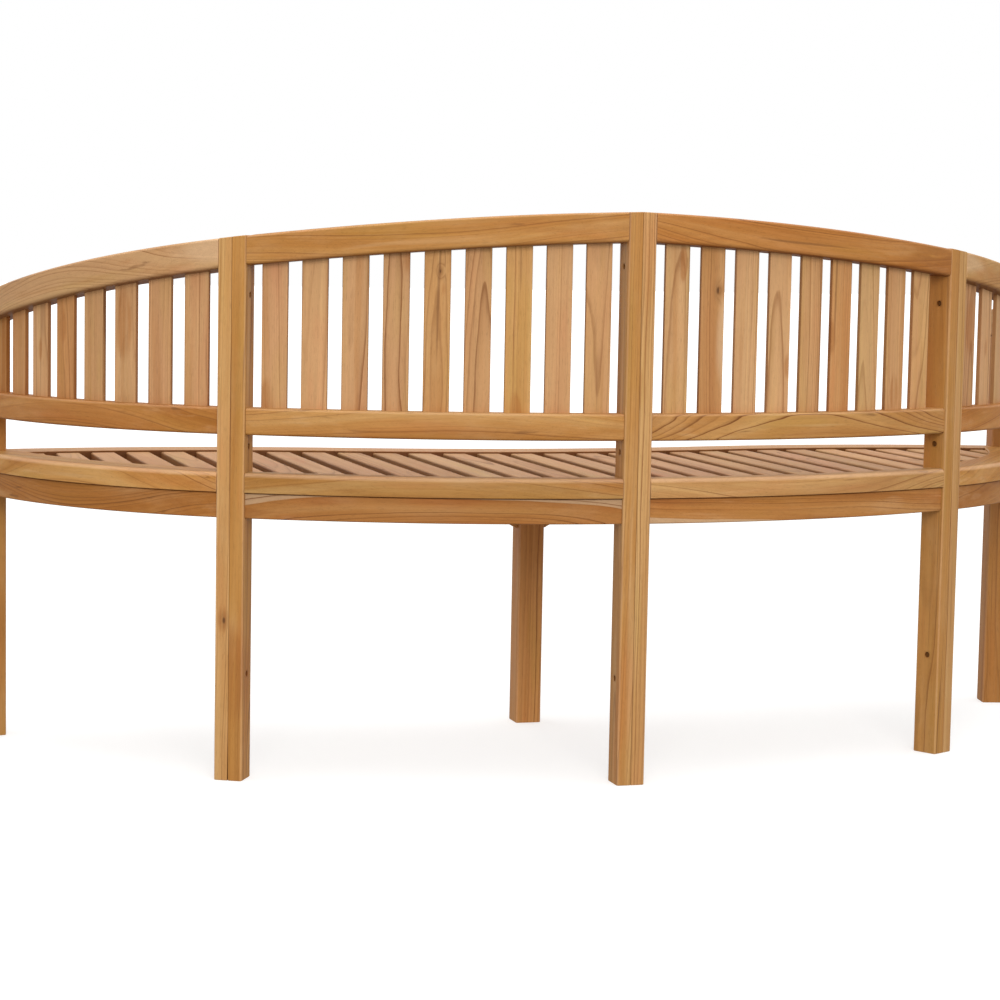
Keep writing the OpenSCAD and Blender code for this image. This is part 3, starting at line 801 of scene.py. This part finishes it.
    # sapwood outside the heart of the log
    pale = step(nt, plus(r, times(split(nt, jitter)[2], 0.004)), sap, plus(sap, 0.0016))
    base = mix(nt, times(pale, 0.74), base, (0.620, 0.400, 0.210, 1.0))
    base = mix(nt, times(late, strength, 0.84), base, (0.190, 0.066, 0.016, 1.0))
    # a few dark mineral streaks
    vein = field(1.6, 90.0, 2.0, 0.5, v=moved)
    vein = times(step(nt, vein, 0.66, 0.75), strength, 0.55)
    base = mix(nt, vein, base, (0.140, 0.054, 0.018, 1.0))
    if knot is not None:
        base = mix(nt, times(warm, 0.55), base, (0.330, 0.118, 0.026, 1.0))
        base = mix(nt, times(light, 0.60), base, (0.640, 0.410, 0.215, 1.0))
        base = mix(nt, times(halo, 0.45), base, (0.230, 0.086, 0.024, 1.0))
        base = mix(nt, times(core, 0.80), base, (0.090, 0.036, 0.014, 1.0))
    # eased edges are paled: partly worn wood, partly a painted highlight
    if own is None:
        base = mix(nt, times(calc(nt, "MAXIMUM", edge, 0.0), 0.16), base, (0.700, 0.480, 0.310, 1.0))
    shade = plus(1.0, tone[0])
    shade = times(shade, plus(0.90, times(thin, 0.20)))
    shade = times(shade, plus(0.91, times(fibre, 0.18)))
    shade = times(shade, plus(0.965, times(ray, 0.07)))
    shade = times(shade, plus(0.955, times(which, 0.09)))
    pores = step(nt, pore, 0.60, 0.72)
    shade = times(shade, calc(nt, "SUBTRACT", 1.0, times(pores, 0.18)))
    if own is None:
        # worn edges are paler and lighter, partly real wear and partly a painted highlight; painted shade darkens
        # undersides, flanks, joints and narrow gaps
        shade = times(shade, plus(1.0, times(calc(nt, "MAXIMUM", edge, 0.0), 0.06)))
        # painted shade: the negative edge mask darkens and reddens the colour
        painted_shade = calc(nt, "MINIMUM", calc(nt, "MAXIMUM", times(edge, -1.0), 0.0), 1.0)
        base = mix(nt, painted_shade, base, mix(nt, 1.0, base, (0.44, 0.34, 0.27, 1.0), "MULTIPLY"))
    if darker != 1.0:
        shade = times(shade, darker)
    grey = node(nt, "ShaderNodeCombineXYZ")
    for i, k in enumerate((1.0, 1.02, 1.12)):
        put_in(nt, grey.inputs[i], times(shade, k))
    base = mix(nt, 1.0, base, grey.outputs[0], "MULTIPLY")

    bsdf = node(nt, "ShaderNodeBsdfPrincipled")
    out = node(nt, "ShaderNodeOutputMaterial")
    put_in(nt, bsdf.inputs["Base Color"], base)
    rg = plus(rough - 0.07, times(fibre, 0.14))
    if own is None:
        rg = plus(rg, times(calc(nt, "MAXIMUM", edge, 0.0), -0.05))
    put_in(nt, bsdf.inputs["Roughness"], rg)
    bsdf.inputs["IOR"].default_value = 1.46
    bsdf.inputs["Specular IOR Level"].default_value = 0.12
    height = plus(times(fibre, 0.55), times(pores, -0.8), times(late, 0.35))
    bump = node(nt, "ShaderNodeBump")
    bump.inputs["Strength"].default_value = 0.45
    bump.inputs["Distance"].default_value = 0.00025
    put_in(nt, bump.inputs["Height"], height)
    put_in(nt, bsdf.inputs["Normal"], bump.outputs[0])
    link(nt, bsdf.outputs[0], out.inputs[0])
    return mat


def steel(name):
    mat = bpy.data.materials.new(name)
    mat.use_nodes = True
    nt = mat.node_tree
    nt.nodes.clear()
    co = node(nt, "ShaderNodeTexCoord").outputs["Object"]
    fine = noise(nt, vec(nt, "MULTIPLY", co, (900.0, 900.0, 120.0)), 1.0, 3.0, 0.6)
    spots = noise(nt, co, 160.0, 2.0, 0.5)
    col = ramp(nt, spots, [(0.35, (0.52, 0.51, 0.49)), (0.62, (0.66, 0.65, 0.63)), (0.75, (0.44, 0.40, 0.35))])
    bsdf = node(nt, "ShaderNodeBsdfPrincipled")
    out = node(nt, "ShaderNodeOutputMaterial")
    bsdf.inputs["Metallic"].default_value = 1.0
    put_in(nt, bsdf.inputs["Base Color"], col)
    put_in(nt, bsdf.inputs["Roughness"], calc(nt, "ADD", 0.30, calc(nt, "MULTIPLY", fine, 0.2)))
    bump = node(nt, "ShaderNodeBump")
    bump.inputs["Strength"].default_value = 0.3
    bump.inputs["Distance"].default_value = 0.0001
    put_in(nt, bump.inputs["Height"], fine)
    put_in(nt, bsdf.inputs["Normal"], bump.outputs[0])
    link(nt, bsdf.outputs[0], out.inputs[0])
    return mat


TEAK = teak("teak_oiled", 0.50)
TEAK_PIN = teak("teak_pin", 0.55, darker=0.36)
STEEL = steel("screw_steel")

# ------------------------------------------------------------------ pieces
WORDS = {  # value, redness (yellow where negative), paleness of a board
    "honey": (0.00, 0.00, 0.00),
    "gold": (-0.02, -0.12, 0.05),
    "yellow": (0.00, -0.30, 0.30),
    "olive": (-0.03, -0.60, 0.30),
    "pink": (0.00, 0.10, 0.62),
    "pale": (0.06, -0.15, 0.62),
    "tan": (-0.01, 0.00, 0.48),
    "orange": (-0.04, 0.42, 0.00),
    "rust": (-0.05, 0.24, 0.30),
    "sage": (0.07, -0.40, 0.70),
    "brown": (-0.05, 0.33, 0.15),
    "red": (-0.10, 0.75, 0.00),
    "dark": (-0.20, 0.55, 0.00),
}
NONE = (9.0, 9.0, 0.0)


def dress(sh, seed, tone="honey", figure=0.8, cut="flat", sap=9.0, knot=NONE, stain=NONE, value=0.0, pith=None):
    """Give a board its place in the log, its tone and its figure.

    cut is flat for arched figure, quarter for long lines; pith overrides it with
    (depth, side, tilt, tilt to the side).
    """
    rnd = random.Random(seed)
    sign = rnd.choice((-1, 1))
    if cut == "flat":
        at = (rnd.uniform(0.022, 0.060), sign * rnd.uniform(0.0, 0.014), rnd.choice((-1, 1)) * rnd.uniform(0.010, 0.032),
              rnd.uniform(-0.012, 0.012))
    else:
        at = (rnd.uniform(0.000, 0.026), sign * rnd.uniform(0.060, 0.095), rnd.uniform(-0.010, 0.010),
              rnd.choice((-1, 1)) * rnd.uniform(0.004, 0.016))
    depth, side, tilt, tilt2 = pith or at
    v, r, p = WORDS[tone]
    sh.look = dict(  # where the board sits in its log, and how it looks
        depth=depth, side=side, tilt=tilt, tilt2=tilt2, shift=rnd.uniform(1, 40) * 3.1,
                   tone=(v + value + rnd.uniform(-0.015, 0.015), r + rnd.uniform(-0.05, 0.05),
                         max(0.0, p + rnd.uniform(-0.05, 0.05))),
                   figure=figure, sap=sap, knot=knot, stain=stain)
    return sh


def piece(name, shells, nodes, mat=TEAK, mx=1, angle=None):
    """One object from one or more boards; mx = -1 mirrors them to the other side."""
    V, F, wood, face, tone, figure, knot, stain = [], [], [], [], [], [], [], []
    for sh in shells:
        m = getattr(sh, "mx", mx)
        v = np.array(sh.v)
        turn = volume(v, sh.f) < 0
        for vid, dd, inward in getattr(sh, "pending", []):
            v[vid] = v[vid] + inward * dd * (1 if turn else -1)
        faces = [tuple(reversed(f)) for f in sh.f] if turn else list(sh.f)
        v[:, 0] *= m
        if m < 0:
            faces = [tuple(reversed(f)) for f in faces]
        o, g, c, n = (np.array(a, float) * np.array([m, 1, 1]) for a in sh.frame)
        q = v - o
        a, b, t = q @ g / 1000, q @ c / 1000, q @ n / 1000
        k = sh.look
        base = len(V)
        V.extend(map(tuple, v / 1000))
        F.extend(tuple(i + base for i in f) for f in faces)
        wood.append(np.stack([a + k["shift"], b + k["side"] + k["tilt2"] * a, t + k["depth"] + k["tilt"] * a], 1))
        face.append(np.stack([a, b, t], 1))
        tone.append(np.tile(k["tone"], (len(v), 1)))
        figure.append(np.stack([np.full(len(v), k["figure"]), np.full(len(v), k["sap"]), np.array(sh.e)], 1))
        knot.append(np.tile(k["knot"], (len(v), 1)))
        stain.append(np.tile(k["stain"], (len(v), 1)))
    mesh = bpy.data.meshes.new(name)
    mesh.from_pydata(V, [], F)
    mesh.validate(verbose=False)
    for label, data in (("wood", wood), ("face", face), ("tone", tone), ("figure", figure), ("knot", knot),
                        ("stain", stain)):
        at = mesh.attributes.new(label, "FLOAT_VECTOR", "POINT")
        at.data.foreach_set("vector", np.concatenate(data).astype(np.float32).ravel())
    mesh.polygons.foreach_set("use_smooth", [True] * len(mesh.polygons))
    mesh.update()
    ob = bpy.data.objects.new(name, mesh)
    bpy.context.scene.collection.objects.link(ob)
    ob.data.materials.append(mat)
    wn = ob.modifiers.new("even_faces", "WEIGHTED_NORMAL")
    wn.mode = "FACE_AREA"
    wn.weight = 60
    wn.keep_sharp = False
    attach(ob, "root")
    if nodes:
        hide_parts(*nodes)
    return ob


def sides():
    return (("left", 1), ("right", -1))


# posts, each glued up from two halves
centre_o = C1 + BACK_R * direction(0)
for tag, m in sides():
    sh = stick(centre_o, 0, 0.05, HW, z_top, 0.7, 3.0, pins=(155, 485, 752), flank=1)
    if m > 0:
        dress(sh, 11, "gold", 1.1, "quarter", pith=(0.006, 0.038, 0.006, 0.010), value=0.02)
    else:
        dress(sh, 12, "yellow", 1.1, "quarter", pith=(0.016, 0.044, 0.008, -0.012), value=0.04,
              stain=(0.18, -0.010, 0.010))
    piece(f"centre_post_{tag}", [sh], [f"centre_rear_post_{tag}_half"], mx=m)
    for part, x0, x1, el, er, fl in (("inner", -HW, -0.05, 3.0, 0.7, -1), ("outer", 0.05, HW, 0.7, 3.0, 1)):
        sh = stick(P1, BAY, x0, x1, z_top if fl < 0 else z_arm_top, el, er, pins=(155, 485, 702), flank=fl,
                   crack=0.5 if m > 0 else 0.0)
        if m > 0:
            dress(sh, 24 + fl, "yellow" if fl > 0 else "gold", 1.0, "quarter", value=0.09 if fl > 0 else 0.04,
                  knot=(-0.166, -0.003, 0.0028) if fl > 0 else NONE,
                  stain=(-0.24, 0.004, 0.022) if fl < 0 else (-0.165, 0.001, 0.008))
        else:
            dress(sh, 28 + fl, "yellow" if fl > 0 else "gold", 1.0, "quarter", value=0.05 if fl > 0 else 0.02)
        piece(f"{tag}_post_{part}", [sh], [f"{tag}_rear_post_{part}_half"], mx=m)
    sh = stick(LEG_P, LEG_A, -HW, HW, z_arm_low, 3.0, 3.0)
    dress(sh, 31 + m, "honey" if m > 0 else "orange", 0.9, "quarter", value=-0.03 if m > 0 else -0.06)
    piece(f"{tag}_end_leg", [sh], [f"{tag}_front_leg"], mx=m)
sh = stick((0.0, FRONT_Y0), 0, -HW, HW, level(APRON_TOP), 3.0, 3.0)
dress(sh, 41, "brown", 0.9, "quarter", pith=(0.016, 0.052, 0.010, 0.004), stain=(0.06, 0.0, 0.066), value=0.12)
piece("front_leg_centre", [sh], ["centre_front_leg"])

# rails; painted shade darkens their undersides
RAIL_EDGES = (3.0, 5.5, 3.0, 3.0)
for tag, m in sides():
    sh = bay_band(0, POST, z_low, z_top, 1.5, 36, eases=RAIL_EDGES, k=4, lift=2.5, dull=(0.9, 0.0, 0.0))
    if m > 0:
        dress(sh, 51, "honey", 0.8, "quarter", pith=(-0.010, -0.078, 0.000, 0.004), value=-0.02)
    else:
        dress(sh, 49, "orange", 0.9, "quarter", pith=(0.004, -0.060, 0.002, -0.004), stain=(0.30, 0.0, 0.045))
    piece(f"{tag}_back_top_rail", [sh], [f"{tag}_top_rail"], mx=m)
    sh = arm_rail_band()
    dress(sh, 54 + m, "pale" if m > 0 else "yellow", 0.7, "quarter", pith=(0.012, 0.078, 0.0, 0.020), value=-0.06,
          stain=(-0.30, 0.0, -0.020))
    piece(f"{tag}_arm_top", [sh], [f"{tag}_arm_rail"], mx=m)
    sh = bay_band(3, 3 + RAIL_T, level(RAIL_Z), level(RAIL_Z + RAIL_H), 4.0, 32, dull=(0.7, 0.0, 0.0))
    if m > 0:
        dress(sh, 59, "honey", 0.8, "quarter", pith=(0.010, 0.066, 0.0, 0.006))
    else:
        dress(sh, 57, "gold", 1.1, "flat", pith=(0.018, 0.026, 0.004, 0.010), value=0.02)
    piece(f"{tag}_back_lower_rail", [sh], [f"{tag}_lower_rail"], mx=m)
    sh = arm_band(3, 3 + RAIL_T, level(RAIL_Z), level(RAIL_Z + RAIL_H), 4.0, dull=(0.7, 0.0, 0.0))
    dress(sh, 62 + m, "orange", 0.9, "quarter", pith=(0.006, 0.070, 0.0, 0.010))
    piece(f"{tag}_arm_lower", [sh], [f"{tag}_arm_lower_rail"], mx=m)

# back slats, counted outward from the centre post: tone, cut, knot, stain, value
LEFT_BAY = [
    ("tan", "flat", NONE, NONE, 0.04),
    ("tan", "quarter", NONE, NONE, 0.05),
    ("yellow", "quarter", NONE, (-0.118, 0.000, 0.008), 0.12),
    ("tan", "flat", NONE, NONE, 0.0),
    ("yellow", "flat", (0.085, -0.004, 0.0025), (0.060, -0.010, 0.006), 0.08),
    ("pink", "flat", NONE, (0.120, -0.014, 0.012), -0.02),
    ("pale", "flat", NONE, NONE, -0.02),
    ("pale", "flat", NONE, NONE, 0.04),
    ("pink", "quarter", NONE, (-0.100, 0.012, 0.010), 0.07),
]
RIGHT_BAY = [
    ("pale", "flat", NONE, (0.095, 0.010, 0.005), 0.04),
    ("rust", "quarter", (0.058, 0.008, 0.0035), (-0.02, 0.030, -0.024), 0.0),
    ("pale", "quarter", NONE, NONE, 0.04),
    ("pale", "flat", NONE, (-0.05, 0.016, 0.007), 0.08),
    ("tan", "quarter", NONE, NONE, 0.09),
    ("rust", "quarter", NONE, (0.0, -0.018, 0.010), 0.14),
    ("sage", "flat", NONE, NONE, 0.0),
    ("tan", "quarter", NONE, (-0.08, 0.0, 0.008), 0.10),
    ("tan", "flat", NONE, NONE, 0.16),
]
LEFT_ARM = [
    ("pale", "quarter", NONE, NONE, 0.02),
    ("pink", "quarter", NONE, NONE, 0.04),
    ("tan", "flat", NONE, (0.03, 0.004, 0.014), 0.05),
    ("tan", "quarter", NONE, NONE, 0.04),
    ("rust", "flat", NONE, (0.03, 0.004, 0.008), 0.12),
    ("pale", "flat", NONE, (0.0, 0.0, 0.006), 0.08),
    ("rust", "quarter", NONE, NONE, 0.12),
    ("orange", "quarter", NONE, NONE, -0.04),
]
RIGHT_ARM = [LEFT_ARM[(3 * j + 2) % 8] for j in range(8)]
for tag, m in sides():
    boards = []
    for j in range(1, 10):
        sh = back_slat(C1, BACK_R, BAY * j / 10 if m > 0 else 0.2 + 2.79 * j, z_low)
        tone, cut, kn, st, val = (LEFT_BAY if m > 0 else RIGHT_BAY)[j - 1]
        dress(sh, 100 + 17 * j + 5 * m, tone, 0.85, cut, knot=kn, stain=st, value=val)
        boards.append(sh)
    piece(f"{tag}_bay_slats", boards, [f"{tag}_back_slats"], mx=m)
    boards = []
    for j in range(1, 9):
        sh = back_slat(C2, ARM_R, BAY + (LEG_A - BAY) / 9 * j, z_arm_low)
        tone, cut, kn, st, val = (LEFT_ARM if m > 0 else RIGHT_ARM)[j - 1]
        dress(sh, 300 + 13 * j + 5 * m, tone, 0.85, cut, knot=kn, stain=st, value=val)
        boards.append(sh)
    piece(f"{tag}_arm_bay_slats", boards, [f"{tag}_arm_slats"], mx=m)

# rim boards of the seat; painted shade darkens their undersides, the joint above the aprons and the rear face of the
# front rims, and their upper rear edges are paled as wear and as a painted highlight
kink_r = float(np.linalg.norm(MITRE_LEG - C2))
kink_d = BULGE_R - float(np.linalg.norm(MITRE_LEG - CB))
front_far = 1000.0
for tag, m in sides():
    sh = bay_band(0, RIM_W, level(APRON_TOP), level(SEAT_TOP), 4.0, 32, eases=(1.5, 1.2, 2.0, 7.0), k=5,
                  dull=(0.8, 0.0, 0.0), joint=-1.1, wear=2.0)
    dress(sh, 71 if m > 0 else 69, "gold" if m > 0 else "yellow", 0.9, "quarter", pith=(0.014, 0.055 * m, 0.0, 0.008),
          value=-0.14 if m > 0 else 0.0)
    piece(f"{tag}_back_rim", [sh], [f"{tag}_rear_rim"], mx=m)
    sh = arm_band(0, ARM_RIM_W, level(APRON_TOP), level(SEAT_TOP), 4.0, 44, stops=(before_leg, behind_mitre),
                  eases=(1.5, 1.2, 2.0, 7.0), mids=[kink_r - 0.02, kink_r + 0.02], k=5, dull=(0.8, 0.0, 0.0),
                  joint=-1.1, wear=2.0)
    dress(sh, 74 + m, "gold", 0.9, "quarter", pith=(0.010, 0.050, 0.0, 0.010), value=0.08)
    piece(f"{tag}_side_rim", [sh], [f"{tag}_arm_rim"], mx=m)
    sh = front_band(0, FRONT_RIM_W, APRON_TOP, SEAT_TOP, 4.0, lambda u: 0.0,
                    lambda u: stop_at(front_pos, u, 600, front_far, inside_leg, before_mitre),
                    mids=[kink_d], eases=(1.5, 1.5, 4.0, 1.5), dull=(0.8, 0.0, 1.0))
    dress(sh, 78 + m, "pink", 0.6, "flat")
    piece(f"{tag}_seat_front", [sh], [f"{tag}_front_rim"], mx=m)

# aprons; painted shade darkens their undersides and the rounding under the rims
for tag, m in sides():
    sh = bay_band(4, 4 + APRON_T, level(APRON_Z), level(APRON_TOP), 2.0, 32, dull=(0.6, 0.0, 0.0), joint=1.1)
    if m > 0:
        dress(sh, 81, "orange", 1.0, "quarter", pith=(-0.070, -0.060, 0.0, -0.006), sap=0.0850, value=-0.16)
    else:
        dress(sh, 79, "orange", 1.1, "flat", pith=(-0.026, 0.060, 0.006, -0.040), sap=0.080, value=-0.03)
    piece(f"{tag}_back_apron", [sh], [f"{tag}_rear_apron"], mx=m)
    sh = arm_band(4, 4 + APRON_T, level(APRON_Z), level(APRON_TOP), 2.0, dull=(0.6, 0.0, 0.0), joint=1.1)
    dress(sh, 84 + m, "orange", 0.9, "quarter", value=-0.10)
    piece(f"{tag}_side_apron", [sh], [f"{tag}_arm_apron"], mx=m)
    sh = front_band(5, 5 + APRON_T, APRON_Z, APRON_TOP, 2.0,
                    lambda u: start_at(front_pos, u, 0, 100, clear_centre),
                    lambda u: stop_at(front_pos, u, 600, front_far, inside_leg), dull=(0.6, 0.0, 0.0))
    dress(sh, 88 + m, "honey", 0.9, "quarter")
    piece(f"{tag}_seat_apron", [sh], [f"{tag}_front_apron"], mx=m)

# seat slats, counted outward from the middle gap
SEAT_TONES = ["pink", "tan", "pink", "pale", "pink", "tan", "pink", "pink", "tan", "pale", "pink", "tan", "pink", "tan", "pink"]
for tag, m in sides():
    inner, outer = [], []
    for k in range(15):
        sh = seat_slat(k)
        dress(sh, 500 + 7 * k + 3 * m, SEAT_TONES[(k * 7 + (3 if m > 0 else 0)) % 15], 0.6, "flat" if k % 3 else "quarter",
              value=-0.06 if k < 9 else 0.07)
        (inner if k <= 9 else outer).append(sh)
    piece(f"{tag}_seat_boards", inner, [f"{tag}_seat_slats"], mx=m)
    piece(f"{tag}_seat_end_boards", outer, [f"{tag}_end_seat_slats"], mx=m)

# pins through the posts
pins = pin_set((1, -1))
for i, sh in enumerate(pins):
    dress(sh, 700 + i, "dark", 0.5, "quarter")
piece("pins_in_posts", pins, ["post_pins"], mat=TEAK_PIN)

# boards and fasteners under the seat keep their construction meshes
UNDER = {
    "left_rear_cleat": 75, "right_rear_cleat": 105, "left_arm_cleat": 37, "right_arm_cleat": 143,
    "left_front_cleat": 90, "right_front_cleat": 90, "centre_bearer": 0, "left_bearer": 0, "right_bearer": 0,
    "left_leg_bracket": 60, "right_leg_bracket": 120,
}
for i, (name, h) in enumerate(UNDER.items()):
    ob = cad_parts[name]
    turn = (0.0, 0.0, math.pi / 2 if h == 0 else 0.0)
    if "rear_cleat" in name:
        turn = (0.0, 0.0, rad(14.35) if name.startswith("left") else -rad(14.35))
    if "arm_cleat" in name:
        turn = (0.0, 0.0, rad(53.1) if name.startswith("left") else -rad(53.1))
    if "bracket" in name:
        turn = (0.0, rad(45) if name.startswith("left") else -rad(45), 0.0)
    rnd = random.Random(900 + i)
    mat = teak(f"teak_{name}", 0.58, own=(turn, (0.0, 0.0, 0.0), (rnd.uniform(0.02, 0.09), rnd.uniform(-0.5, -0.36)),
                                          (-0.06, rnd.uniform(0.2, 0.5), 0.05)))
    ob.data.materials.clear()
    ob.data.materials.append(mat)
    ob.color = (1, 1, 1, 1)
DOWEL = teak("teak_dowel", 0.6, own=((0.0, 0.0, 0.0), (0.0, 0.0, 0.0), (0.03, -0.4), (0.0, -0.2, 0.3)))
for name in ("top_rail_dowels", "lower_rail_dowels", "arm_leg_dowels", "rim_dowels", "apron_dowels", "bearer_dowels"):
    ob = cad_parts[name]
    ob.data.materials.clear()
    ob.data.materials.append(DOWEL)
for name in ("slat_screws", "cleat_screws", "bracket_screws"):
    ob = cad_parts[name]
    ob.data.materials.clear()
    ob.data.materials.append(STEEL)

# ------------------------------------------------------------------ floor, light, camera
mesh = bpy.data.meshes.new("floor")
mesh.from_pydata([(-40, -40, 0), (40, -40, 0), (40, 40, 0), (-40, 40, 0)], [], [(0, 1, 2, 3)])
floor = bpy.data.objects.new("floor", mesh)
bpy.context.scene.collection.objects.link(floor)
fm = bpy.data.materials.new("floor_pale")
fm.use_nodes = True
fb = fm.node_tree.nodes["Principled BSDF"]
fnt = fm.node_tree
far = vec(fnt, "LENGTH", node(fnt, "ShaderNodeTexCoord").outputs["Object"])
far = calc(fnt, "MULTIPLY", far, 0.1)
fb.inputs["Base Color"].default_value = (0.52, 0.52, 0.515, 1.0)
fb.inputs["Emission Color"].default_value = (1.0, 1.0, 1.0, 1.0)
link(fnt, ramp(fnt, far, [(0.10, 0.60), (0.40, 0.75), (0.9, 1.0)]), fb.inputs["Emission Strength"])
fb.inputs["Roughness"].default_value = 0.9
fb.inputs["Specular IOR Level"].default_value = 0.0
mesh.materials.append(fm)
floor.visible_diffuse = False
floor.visible_glossy = False

# a studio of soft light: white round the horizon, softer above it, brighter overhead
world = bpy.data.worlds.new("studio")
bpy.context.scene.world = world
world.use_nodes = True
wnt = world.node_tree
bg = wnt.nodes["Background"]
up_dir = split(wnt, node(wnt, "ShaderNodeTexCoord").outputs["Generated"])[2]
sky = ramp(wnt, calc(wnt, "MULTIPLY_ADD", up_dir, 0.5, 0.5), [
    (0.0, 0.50), (0.44, 0.56), (0.466, 0.66), (0.474, 1.0), (0.58, 1.0), (0.70, 0.62), (0.85, 0.66), (1.0, 1.0)])
link(wnt, sky, bg.inputs["Color"])
bg.inputs["Strength"].default_value = 1.0


def softbox(name, where, to, size, power, colour=(1, 1, 1)):
    data = bpy.data.lights.new(name, "AREA")
    data.shape = "RECTANGLE"
    data.size, data.size_y = size
    data.energy = power
    data.color = colour
    ob = bpy.data.objects.new(name, data)
    bpy.context.scene.collection.objects.link(ob)
    d = Vector(to) - Vector(where)
    ob.matrix_world = Matrix.Translation(Vector(where)) @ d.to_track_quat("-Z", "Y").to_matrix().to_4x4()
    ob.visible_camera = False
    return ob


softbox("key", (1.2, 5.2, 2.7), (0.1, 0.1, 0.5), (3.2, 2.2), 145, (1.0, 0.985, 0.96))
softbox("overhead", (0.2, 0.1, 3.6), (0.1, 0.0, 0.4), (3.4, 2.6), 62, (0.97, 0.985, 1.0))

cam_at = Vector((1.25728, 3.91512, 0.78152))
az, el, roll = rad(16.2767), rad(5.5134), rad(1.0669)
back = Vector((math.sin(az) * math.cos(el), math.cos(az) * math.cos(el), math.sin(el)))
right = Vector((0, 0, 1)).cross(back).normalized()
up = back.cross(right)
R = right * math.cos(roll) + up * math.sin(roll)
U = -right * math.sin(roll) + up * math.cos(roll)
cam = bpy.data.cameras.new("camera")
cam_ob = bpy.data.objects.new("camera", cam)
bpy.context.scene.collection.objects.link(cam_ob)
M = Matrix((R, U, back)).transposed().to_4x4()
M.translation = cam_at
cam_ob.matrix_world = M
cam.sensor_fit = "HORIZONTAL"
cam.sensor_width = 36.0
cam.lens = 36.0 * 2657.4 / 1000.0
cam.dof.use_dof = False
cam.clip_start, cam.clip_end = 0.05, 200.0
bpy.context.scene.camera = cam_ob

view = bpy.context.scene.view_settings
view.view_transform = "Standard"
view.look = "None"
view.exposure = 0.0
view.gamma = 1.0

bpy.context.view_layer.update()
